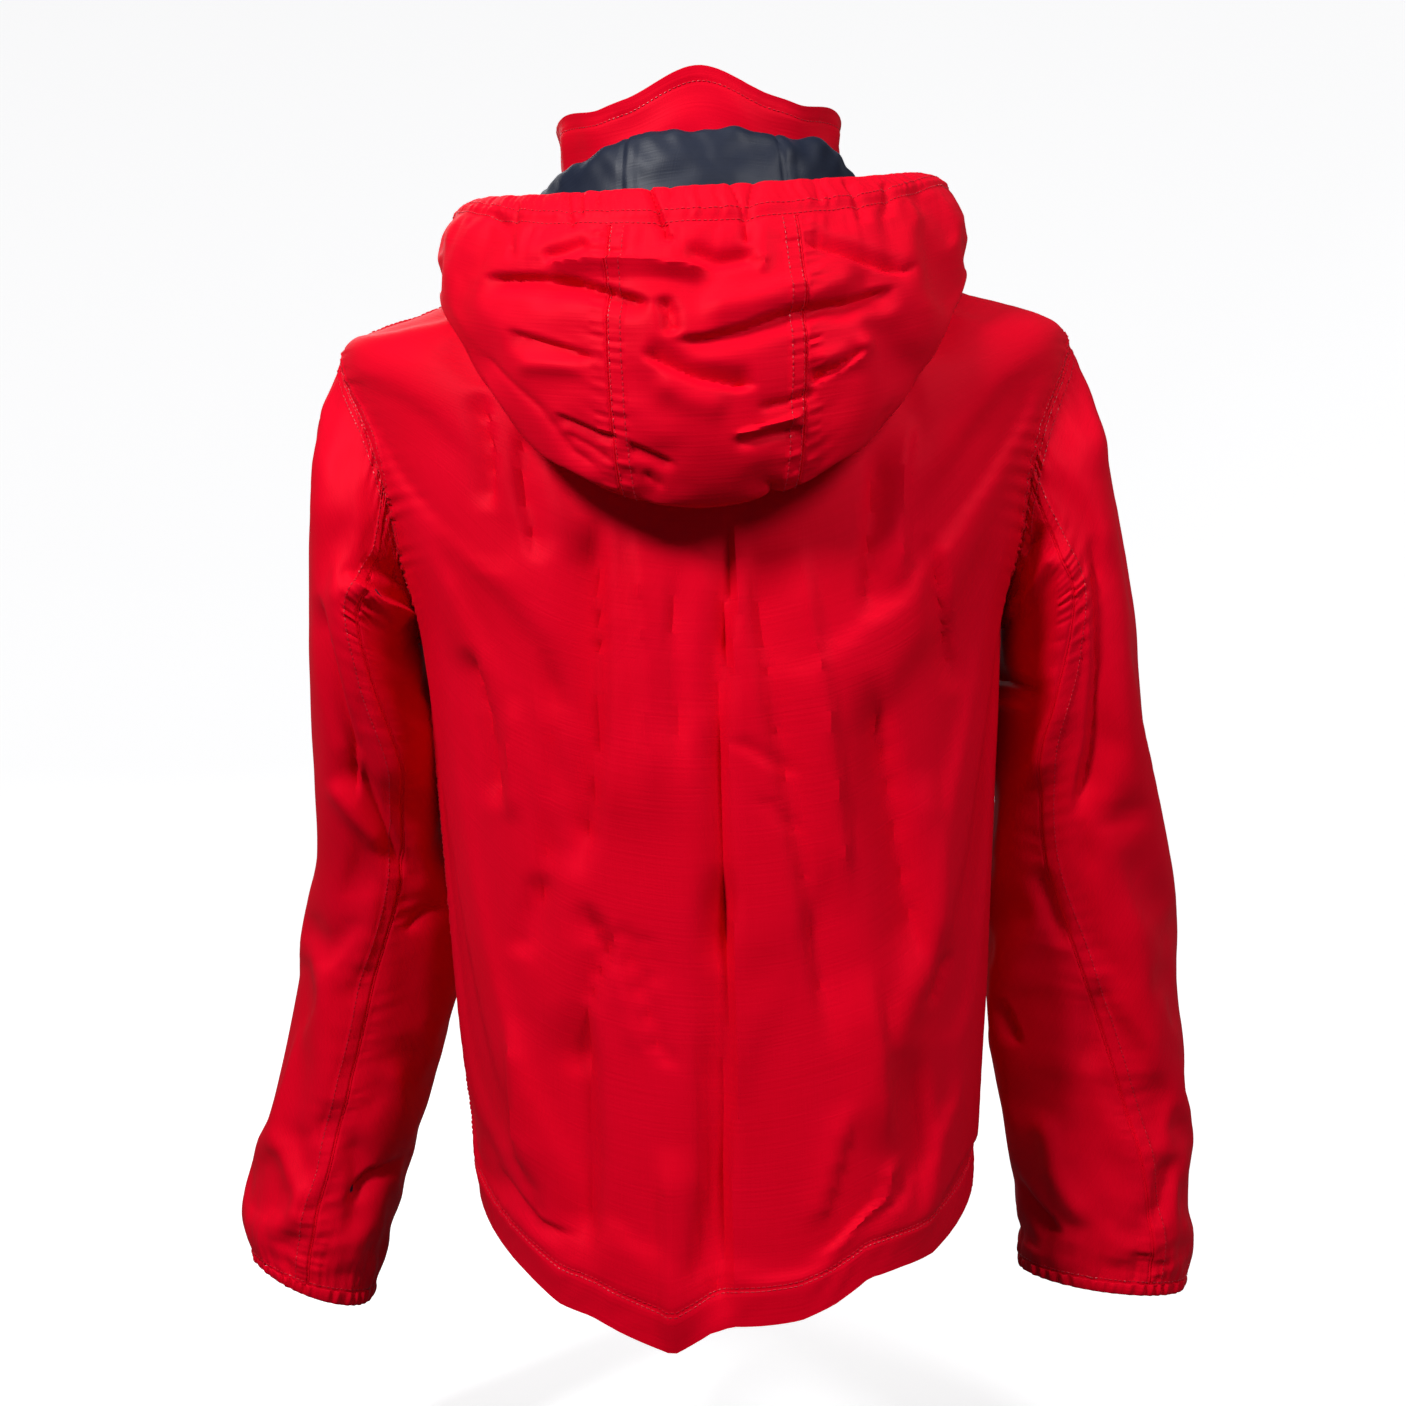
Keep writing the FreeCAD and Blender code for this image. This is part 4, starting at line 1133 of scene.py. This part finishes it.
def fade_at_armholes(panel, edges):
    """1 away from the armholes and 0 at them, where the body's folds give way to the sleeve's."""
    fade = np.ones(panel.u.shape)
    near = smooth((panel.u - TIP_LEVEL + 0.5) / 0.5) * (1 - smooth((panel.u - UNDERARM_LEVEL) / 0.6))
    for edge in filter(None, edges):
        fade *= 1 - near * (1 - smooth(panel.distance(edge) / 12))
    return fade


def hang(panel):
    """Gives a torso layer the uneven fall of the back's hem."""
    fall = smooth((panel.u - 9.4) / 1.6) * smooth(panel.base[..., 1] / 60)
    panel.shift[..., 2] -= fall * np.interp(panel.base[..., 0], HEM_X, HEM_DROP)


def hem(panel, seed):
    """A turned-up hem: a shallow step at its stitching, with gentle puckers along it."""
    d, s = panel.distance("bottom"), panel.along("bottom")
    groove = -0.7 * np.exp(-(((d - 21.2) / 1.6) ** 2))
    swell = 0.5 * (1 - smooth((d - 19) / 2.5))
    waves = 0.45 * np.exp(-(((d - 16) / 14) ** 2)) * ripple(s + 0.3 * d, 9, seed)
    panel.lift = panel.lift + groove + swell + waves


def torso_linings():
    us = np.linspace(0.1, 10.55, 90)
    gap = armhole(us) + 0.5
    edge = angle_at_x(body_surface, us, np.full(len(us), 29.0))
    spans = (
        ("back_lining", gap, 180 - gap, 60),
        ("front_lining_left", edge, -gap, 36),
        ("front_lining_right", gap - 180, -180 - edge, 36),
    )
    for name, left, right, columns in spans:
        panel = torso_panel(us, left, right, columns, 0.0, LINING_DEPTH)
        hang(panel)
        place(name, panel, LINING_THICKNESS, lining, "garment", [name])
    us = np.linspace(10.62, 10.985, 8)
    edge = angle_at_x(body_surface, us, np.full(len(us), 18.0))
    panel = torso_panel(us, edge, 180 - edge, 300, 0.0, 1.9)
    hang(panel)
    place("hem_facing", panel, 0.8, lining, "garment", ["hem_facing"])
    us = np.linspace(0.05, 10.95, 200)
    edge = angle_at_x(body_surface, us, np.full(len(us), 27.0))
    panel = Panel(body_surface, us, -180 - edge, edge, 12, depth=9.0)
    panel.lift = 0.5 * ripple(panel.from_top, 60, 5) * np.sin(np.pi * panel.from_left / 54)
    place("storm_guard", panel, 1.2, shell, "garment", ["storm_guard"])


def collar_slope(panel):
    """How far the collar's edge falls away, to either side of its peak at the back."""
    away = np.clip(np.abs(panel.base[..., 0]) / 92, 0, 1)
    behind = smooth((panel.base[..., 1] + 5) / 25)
    slope = smooth(away / 0.5) * (1 - smooth((away - 0.65) / 0.35))
    return 13 * behind * slope * smooth(panel.u / 2) ** 1.5


def collar_panels():
    us = np.linspace(0.02, 2, 64)
    edge = angle_at_x(collar_surface, us, np.full(len(us), ZIP_HALF))
    outer = Panel(collar_surface, us, edge, 180 - edge, 260, -1)
    outer.shift[..., 2] -= collar_slope(outer)
    d = outer.distance("bottom")
    s = outer.along("bottom")
    outer.lift = (
        0.9 * lumps(outer.base, 34, 3) * smooth(d / 12)
        - 0.5 * np.exp(-(((d - 9) / 1.4) ** 2))
        + 0.35 * np.exp(-(((d - 5) / 5) ** 2)) * ripple(s, 8, 31)
        + 0.5 * np.exp(-((d / 3) ** 2))
    )
    thickness = np.full(outer.u.shape, 2.0)
    obj = sheet_object("sewn_collar_outer", outer, thickness, shell)
    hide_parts("collar_outer")
    declare(outer)
    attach(obj, "garment")
    stitches["garment"].row(outer.line("bottom", 9.0, 0.1))
    us = np.linspace(0.04, 1.93, 40)
    edge = angle_at_x(collar_surface, us, np.full(len(us), 17.0))
    inner = Panel(collar_surface, us, edge, 180 - edge, 120, -1, depth=2.8)
    inner.shift[..., 2] -= collar_slope(inner)
    inner.lift = 0.5 * lumps(inner.base, 30, 4) - 0.6
    place("collar_lining", inner, 1.0, lining, "garment", ["collar_lining"])


def neck_trims():
    """The blank label and the hanging loop inside the back of the neck."""
    panel = Panel(body_surface, np.linspace(0.9, 1.35, 14), 80, 100, 26, dense=0.0, depth=5.4)
    panel.lift = 0.3 * lumps(panel.base, 18, 8)
    place("neck_label", panel, 0.5, label, "garment", ["neck_label"])

    def loop_surface(u, v):
        x = 24.0 * (v - 0.5) * 2
        drop = 1 - (x / 24.0) ** 2
        return np.stack([x, 66 - 10 * drop, -12 - 5 * drop + 6 * (1 - u)], -1)

    u, v = np.meshgrid(np.linspace(0, 1, 7), np.linspace(0, 1, 40), indexing="ij")
    panel = grid_panel(loop_surface(u, v), u, v, -1)
    place("hanger_loop", panel, 1.1, tape, "garment", ["hanger_loop"])


def grid_panel(base, u, v, sign):
    """A panel from a ready grid of points."""
    panel = Panel.__new__(Panel)
    panel.sign, panel.u, panel.v, panel.base = sign, u, v, base
    panel.normal = grid_normals(base, sign)
    steps_v = np.linalg.norm(np.diff(base, axis=1), axis=-1)
    steps_u = np.linalg.norm(np.diff(base, axis=0), axis=-1)
    panel.from_left = np.pad(np.cumsum(steps_v, 1), ((0, 0), (1, 0)))
    panel.from_top = np.pad(np.cumsum(steps_u, 0), ((1, 0), (0, 0)))
    panel.lift = np.zeros(u.shape)
    panel.shift = np.zeros(base.shape)
    return panel


def facing_panel(base, u, v, outward):
    """A panel from a ready grid, whose face looks the way that outward does."""
    panel = grid_panel(base, u, v, 1)
    if (panel.normal * outward).sum(-1).mean() < 0:
        panel.sign = -1
        panel.normal = grid_normals(base, -1)
    return panel


def sleeve_panels(name):
    us = np.linspace(0, CUFF_START, 330)
    back = back_seam(name, us)
    spans = {"upper": (FRONT_SEAM - 360, back, 130), "under": (back, FRONT_SEAM, 90)}
    seed = 50 if name == "left" else 90
    for part, (start, end, columns) in spans.items():
        panel = sleeve_panel(name, us, start, end, columns, 0.8)
        panel.lift = panel.lift * smooth(panel.distance("top") / 12)
        u = us[:, None]
        bunch = 0.35 + 1.1 * np.exp(-(((u - 2.6) / 0.7) ** 2)) + 0.3 * smooth((u - 9) / 1.5)
        for edge in ("left", "right"):
            seam(panel, edge, 0.9, 0.55 if part == "upper" else 0.0, 9, 0.6, 18, 5.0, seed, bunch)
        seam(panel, "top", 0.9, 0.3, 9, 0.6, 18, 5.5, seed + 3)
        gather(panel, "bottom", 0.9, 6.5, 34, seed + 5)
        node = f"{part}_sleeve_{name}"
        place(node, panel, SHELL_THICKNESS, shell, name, [node])
        rows = stitches[name]
        if part == "upper":
            for edge in ("left", "right"):
                rows.row(panel.line(edge, 8.6, 0.1))
        for distance in (3.2, 9.2):
            rows.row(panel.line("top", distance, 0.1))
        rows.row(panel.line("bottom", 2.0, 0.1))
        seed += 10
    cuff(name, seed)
    panel = sleeve_panel(name, np.linspace(0.15, 10.94, 70), -180, 180, 48, depth=LINING_DEPTH - 1.5)
    place(
        f"sleeve_lining_{name}", panel, LINING_THICKNESS, lining, name,
        [f"sleeve_lining_{name}"], closed=True,
    )


def cuff(name, seed):
    """The elasticated cuff: a short band of tight gathers, with ribbed elastic inside it."""
    band = sleeve_panel(name, np.linspace(10.79, SLEEVE_END, 26), -180, 180, 420)
    around = band.from_left / band.from_left[:, -1:] * 2 * np.pi
    t = (band.u - 10.79) / (SLEEVE_END - 10.79)
    turn = np.random.default_rng(seed).uniform(0, 6, 5)
    waves = sum(np.sin(k * around + p + 0.8 * np.sin(3 * around)) for k, p in zip((41, 46, 52, 37, 29), turn))
    profile = np.sin(np.pi * np.clip(t, 0, 1)) ** 0.5
    band.lift = band.lift + 0.3 + 0.9 * profile + 0.42 * waves * (0.35 + 0.65 * profile)
    place(f"cuff_band_{name}", band, 1.4, shell, name, [f"cuff_band_{name}"], True)
    strip = sleeve_panel(name, np.linspace(10.83, 10.97, 12), -180, 180, 200, depth=3.4)
    around = strip.from_left / strip.from_left[:, -1:] * 2 * np.pi
    strip.lift = strip.lift + 0.12 * np.sin(96 * around)
    node = f"cuff_elastic_{name}"
    place(node, strip, 1.0, elastic, name, [node], True)


def hood_panels():
    us = np.linspace(CASING_SHARE, 1, 230)
    spans = {
        "hood_center_panel": (-HOOD_SEAM, HOOD_SEAM, 74),
        "hood_side_left": (-HOOD_END, -HOOD_SEAM, 150),
        "hood_side_right": (HOOD_SEAM, HOOD_END, 150),
    }
    seed = 130
    for name, (start, end, columns) in spans.items():
        panel = hood_panel(us, start, end, columns, 0.8)
        centre = name == "hood_center_panel"
        for edge, sewn in (("left", start > -HOOD_END), ("right", end < HOOD_END)):
            if sewn:
                seam(panel, edge, 0.9, 0.6 if centre else 0.0, 9, 0.45, 14, 6.0, seed)
                for distance in (1.8, 8.5) if centre else ():
                    stitches["hood"].row(panel.line(edge, distance, 0.1))
        gather(panel, "top", 0.7, 9, 26, 140)
        place(name, panel, SHELL_THICKNESS, shell, "hood", [name])
        seed += 5
    casing()
    panel = hood_panel(np.linspace(0.012, 0.99, 90), -HOOD_END + 0.5, HOOD_END - 0.5, 150, depth=4.6)
    place("hood_lining", panel, LINING_THICKNESS, lining, "hood", ["hood_lining"])
    us = np.linspace(0.012, CASING_SHARE - 0.016, 14)
    strip = hood_panel(us, -HOOD_END + 1, HOOD_END - 1, 320, depth=2.6)
    strip.lift = strip.lift + 0.12 * np.sin(strip.from_left * 2 * np.pi / 2.4)
    place("hood_elastic", strip, 1.0, elastic, "hood", ["hood_elastic"])


def casing():
    """The gathered channel along the hood's edge, rolled over its elastic."""
    panel = hood_panel(np.linspace(0, CASING_SHARE, 34), -HOOD_END, HOOD_END, 620)
    t = panel.u / CASING_SHARE
    s = panel.along("top")
    roll = 1.6 * np.sin(np.pi * np.clip(t, 0, 1)) ** 0.6 + 0.5
    pleats = ripple(s + 1.2 * np.sin(7 * t), 8.5, 141) * (0.4 + 0.6 * np.sin(np.pi * t) ** 0.5)
    gathers = roll + 0.55 * pleats + 0.5 * ripple(s, 21, 143)
    panel.lift = panel.lift + gathers * smooth((1 - t) / 0.3)
    place("hood_edge_casing", panel, 1.4, shell, "hood", ["hood_edge_casing"])
    for distance in (1.5, 8.6):
        stitches["hood"].row(panel.line("bottom", distance, 0.1))


def neck_wall():
    us = np.linspace(0, 1, 90)
    panel = Panel(neck_wall_surface, us, -HOOD_END, HOOD_END, 260, dense=0.0)
    crest = np.sin(np.pi * np.clip(panel.u * 1.15, 0, 1))
    panel.lift = crest * (1.6 * lumps(panel.base, 46, 21) + 0.7 * lumps(panel.base, 17, 22))
    for line, width, height, kind, ends in NECK_WALL_FOLDS:
        panel.lift = panel.lift + crest * fold(panel.base, line, width, height, kind, ends)
    for at in (-25.0, 26.5):
        away = (panel.v - at) * np.radians(1) * 100
        panel.lift = panel.lift - 0.9 * np.exp(-((away / 1.3) ** 2))
        panel.lift = panel.lift + 0.5 * smooth((away - 0.8) / 1.5) * (1 - smooth((away - 7) / 1.5))
    place("hood_neck_wall", panel, 1.2, lining, "garment", ["hood_neck_wall"])

    def bridge_surface(t, v):
        a = hood_surface(np.ones(np.shape(v)), v)
        b = neck_wall_surface(np.ones(np.shape(v)), v)
        sag = np.sin(np.pi * t)[..., None] * np.array([0, 0, -9.0])
        return a * (1 - t[..., None]) + b * t[..., None] + sag

    u, v = np.meshgrid(np.linspace(0, 1, 20), np.linspace(-HOOD_END, HOOD_END, 150), indexing="ij")
    panel = grid_panel(bridge_surface(u, v), u, v, 1)
    place("hood_bridge", panel, 1.0, lining, "bridge", [])


# ---------------------------------------------------------------- the front: zip and pockets
def front_path(top, bottom):
    up = collar_surface(np.linspace(top, 0.1, 60), np.full(60, -90.0))
    down = body_surface(np.linspace(0.05, bottom, 300), np.full(300, -90.0))
    return np.concatenate([up, down])


def path_frames(path):
    down = np.gradient(path, axis=0)
    down /= np.linalg.norm(down, axis=1, keepdims=True)
    inward = np.stack([0 * down[:, 0], -down[:, 2], down[:, 1]], -1)
    return down, inward


def zip_tapes():
    path = front_path(2.0, HEM_LEVEL)
    _, inward = path_frames(path)
    for name, side in (("left", 1), ("right", -1)):
        xs = side * np.linspace(3.9, 13.0, 12)
        base = path[:, None] + inward[:, None] * (ZIP_DEPTH - 0.5)
        base = np.repeat(base, 12, 1)
        base[..., 0] = xs
        u, v = np.meshgrid(np.arange(len(path)), np.arange(12), indexing="ij")
        panel = grid_panel(base, u, v, 1)
        panel.sign = panel.sign if panel.normal[5, 5, 1] < 0 else -1
        panel.normal = grid_normals(base, panel.sign)
        panel.lift = 0.12 * np.sin(v * np.pi) + 0.15 * (v == 0)
        node = f"zipper_tape_{name}"
        place(node, panel, 0.9, tape, "garment", [node])


TOOTH = np.array([
    (-1.0, -0.75, -0.9), (0.5, -0.55, -0.7), (1.25, -0.95, -0.75), (1.7, -0.45, -0.6),
    (-1.0, 0.75, -0.9), (0.5, 0.55, -0.7), (1.25, 0.95, -0.75), (1.7, 0.45, -0.6),
    (-1.0, -0.75, 0.9), (0.5, -0.55, 0.7), (1.25, -0.95, 0.75), (1.7, -0.45, 0.6),
    (-1.0, 0.75, 0.9), (0.5, 0.55, 0.7), (1.25, 0.95, 0.75), (1.7, 0.45, 0.6),
])
TOOTH_FACES = np.array([
    (0, 4, 5, 1), (1, 5, 6, 2), (2, 6, 7, 3), (8, 9, 13, 12), (9, 10, 14, 13), (10, 11, 15, 14),
    (0, 1, 9, 8), (1, 2, 10, 9), (2, 3, 11, 10), (4, 12, 13, 5), (5, 13, 14, 6), (6, 14, 15, 7),
    (0, 8, 12, 4), (3, 7, 15, 11),
])
TOOTH_PITCH = 3.0


def zip_teeth():
    """Moulded teeth that interlock on the centre line; each is waisted behind its head."""
    path = front_path(1.93, 10.86)
    down, inward = path_frames(path)
    s = np.concatenate([[0], np.cumsum(np.linalg.norm(np.diff(path, axis=0), axis=1))])
    for name, side in (("left", 1), ("right", -1)):
        at = np.arange(1.2 + (0.75 if side > 0 else 0) * 2, s[-1] - 1, TOOTH_PITCH)
        centre = np.stack([np.interp(at, s, path[:, k]) for k in range(3)], -1)
        d = np.stack([np.interp(at, s, down[:, k]) for k in range(3)], -1)
        n = np.stack([np.interp(at, s, inward[:, k]) for k in range(3)], -1)
        across = np.array([-side, 0, 0])
        local = TOOTH[None] * np.array([0.95, 0.85, 1.35])
        points = (
            (centre + n * ZIP_DEPTH)[:, None] + np.array([side * 2.3, 0, 0])
            + local[..., :1] * across + local[..., 1:2] * d[:, None] + local[..., 2:] * n[:, None]
        )
        offsets = 16 * np.arange(len(at))
        faces = (TOOTH_FACES[None] + offsets[:, None, None]).reshape(-1, 4)
        if side < 0:
            faces = faces[:, ::-1]
        flat = points.reshape(-1, 3)
        obj = add_object(f"zipper_teeth_{name}", flat, faces, flat[:, [0, 2]], teeth_plastic)
        rounding = obj.modifiers.new("rounding", "BEVEL")
        rounding.width, rounding.segments, rounding.limit_method = 0.00018, 2, "NONE"
        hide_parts(f"zipper_chain_{name}")
        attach(obj, "garment")


def front_level(z):
    levels_at = np.linspace(5, HEM_LEVEL, 600)
    heights = table_values(BODY, levels_at)[:, 5]
    return np.interp(-np.asarray(z, float), -heights, levels_at)


def front_grid(x, z, lift, side):
    """Points that stand lift off the front panel at (x, z), and the outward normals there."""
    level = front_level(z)
    angle = angle_at_x(body_surface, level, side * x)
    angle = np.where(angle < -180, angle + 360, angle)
    here, normal = with_normal(body_surface, level, angle, 1)
    return here + normal * np.asarray(lift)[..., None], normal


def pocket(name, side):
    """A bellows pocket: its front is pushed out, its sides and bottom fold back to the panel."""
    count_x, count_z = 90, 110
    s, t = np.meshgrid(np.linspace(0, 1, count_x), np.linspace(0, 1, count_z))
    across, down = s * 122, t * 177
    edge_x = np.minimum(across, 122 - across)
    from_bottom = 177 - down
    wall = np.minimum(smooth(edge_x / 15), smooth(from_bottom / 15))
    corners = 0.5 * (smooth(across / 15) - 1) + 0.5 * smooth((across - 107) / 15)
    x = POCKET_X[0] + np.clip(across - 15, 0, 92) + corners
    z = POCKET_Z[1] - np.clip(down, 0, 162)
    crown = 1.2 * np.sin(np.pi * s) * np.sin(np.pi * np.clip(t, 0, 1))
    base, normal = front_grid(x, z, 0.4 + (POCKET_DEPTH - 1.2) * wall + crown - 0.6, side)
    panel = facing_panel(base, t, s, normal)
    groove = 0.5 * np.exp(-(((edge_x - 19) / 1.2) ** 2)) * (from_bottom > 17)
    panel.lift = 0.5 * lumps(base, 30, 60) * wall - groove
    panel.lift = panel.lift - 0.4 * np.exp(-(((down - 16) / 1.2) ** 2))
    node = f"pocket_{name}"
    place(node, panel, 1.2, shell, "garment", [node])
    for edge in ("left", "right", "bottom"):
        stitches["garment"].row(panel.line(edge, 19.0, 0.1))
    stitches["garment"].row(panel.line("top", 16.0, 0.1))


def pocket_flap(name, side):
    """The flap: two layers with a bound edge, cropped corners and a row of stitching."""
    width = FLAP_X[1] - FLAP_X[0]
    s, t = np.meshgrid(shares(80, 0.5), shares(50, 0.5))
    across = s * width
    reach = FLAP_DROP - np.clip(16 - np.minimum(across, width - across), 0, 16)
    down = t * reach
    edge = np.minimum(np.minimum(across, width - across), reach - down)
    lift = FLAP_LIFT - 0.5 * (1 - smooth(edge / 2.5)) + 0.7 * np.sin(np.pi * s) * t
    base, normal = front_grid(FLAP_X[0] + across, FLAP_TOP - down, lift, side)
    panel = facing_panel(base, t, s, normal)
    panel.lift = 0.3 * lumps(base, 24, 70) - 0.45 * np.exp(-(((edge - 6) / 1.1) ** 2))
    node, body = f"pocket_flap_{name}", f"flap_{name}"
    place(node, panel, 2.0, shell, body, [node])
    for edge_name in ("left", "right", "bottom"):
        stitches[body].row(panel.line(edge_name, 6.0, 0.1))
    stitches[body].row(panel.line("top", 4.0, 0.1))


def carried_nodes():
    """CAD nodes that are hard parts stay, with softened edges and their own materials."""
    finishes = {
        "top_slider": zip_metal, "bottom_slider": zip_metal, "zipper_top_stops": teeth_plastic,
        "zipper_retainer_box": teeth_plastic, "top_pull_tab": pull_plastic, "bottom_pull_tab": pull_plastic,
        "pocket_snap_cap_left": snap_plastic, "pocket_snap_cap_right": snap_plastic,
        "pocket_snap_stud_left": zip_metal, "pocket_snap_stud_right": zip_metal,
    }
    for node, material in finishes.items():
        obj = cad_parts[node]
        obj.data.materials.clear()
        obj.data.materials.append(material)
        rounding = obj.modifiers.new("rounding", "BEVEL")
        rounding.width, rounding.segments = 0.00025, 2
        rounding.limit_method, rounding.angle_limit = "ANGLE", math.radians(50)
        rounding.use_clamp_overlap = True


# ---------------------------------------------------------------- room, light and camera
def room():
    """A pale floor that curves up into a pale wall all round."""
    profile = [
        (0.0, -0.82), (1.5, -0.82), (2.4, -0.82), (3.0, -0.72), (3.4, -0.4), (3.6, 0.1), (3.65, 1.2),
        (3.65, 3.2),
    ]
    turns = 72
    points = []
    for r, z in profile:
        for k in range(turns):
            a = 2 * math.pi * k / turns
            points.append((r * math.cos(a), r * math.sin(a), z))
    faces = []
    for i in range(len(profile) - 1):
        for k in range(turns):
            a, b = i * turns + k, i * turns + (k + 1) % turns
            faces.append((a, b, b + turns, a + turns))
    mesh = bpy.data.meshes.new("floor")
    mesh.from_pydata(points, [], faces)
    mesh.polygons.foreach_set("use_smooth", np.ones(len(faces), bool))
    floor = bpy.data.objects.new("floor", mesh)
    bpy.context.scene.collection.objects.link(floor)
    material, _, _, shader = new_material("floor")
    shader.inputs["Base Color"].default_value = (0.86, 0.86, 0.87, 1)
    shader.inputs["Roughness"].default_value = 0.9
    shader.inputs["Emission Color"].default_value = (1, 1, 1, 1)
    shader.inputs["Emission Strength"].default_value = 0.75
    mesh.materials.append(material)
    floor.visible_diffuse = floor.visible_glossy = False


def area_light(name, location, target, size, power, colour=(1, 1, 1)):
    data = bpy.data.lights.new(name, "AREA")
    data.shape, data.size, data.energy, data.color = "DISK", size, power, colour
    light = bpy.data.objects.new(name, data)
    light.location = location
    aim = np.array(target, float) - np.array(location, float)
    light.rotation_mode = "QUATERNION"
    light.rotation_quaternion = Vector(aim).to_track_quat("-Z", "Y")
    bpy.context.scene.collection.objects.link(light)


def lights_and_camera():
    scene = bpy.context.scene
    area_light("key", (0.95, 1.15, 0.95), (0, 0.05, -0.2), 0.45, 33)
    area_light("fill", (-1.1, 1.3, 0.85), (0, 0, -0.25), 0.7, 19)
    area_light("front", (0.8, -2.2, 1.2), (0, 0, -0.3), 1.4, 12)
    area_light("top", (0, 0.5, 2.4), (0, 0, -0.2), 1.2, 6)
    world = bpy.data.worlds.new("studio")
    world.use_nodes = True
    world.node_tree.nodes["Background"].inputs["Color"].default_value = (0.93, 0.95, 1.0, 1)
    world.node_tree.nodes["Background"].inputs["Strength"].default_value = 0.1
    scene.world = world
    data = bpy.data.cameras.new("camera")
    data.lens, data.sensor_width = 45.3, 36.0
    camera = bpy.data.objects.new("camera", data)
    camera.location = (0.007, 1.150, -0.290)
    camera.rotation_euler = (math.radians(90), math.radians(CAMERA_ROLL), math.radians(180))
    scene.collection.objects.link(camera)
    scene.camera = camera
    scene.view_settings.view_transform = "Standard"


# ---------------------------------------------------------------- all of it
torso_panels()
torso_linings()
collar_panels()
neck_trims()
for sleeve_name in SLEEVES:
    sleeve_panels(sleeve_name)
hood_panels()
neck_wall()
zip_tapes()
zip_teeth()
for pocket_name, pocket_side in (("left", 1), ("right", -1)):
    pocket(pocket_name, pocket_side)
    pocket_flap(pocket_name, pocket_side)
carried_nodes()
for key, rows in stitches.items():
    body_name = key if key not in ("left", "right") else f"sleeve_{key}"
    sewn = rows.build(f"stitching_{body_name}", thread, "shell_cloth")
    tie(sewn, key)
room()
lights_and_camera()
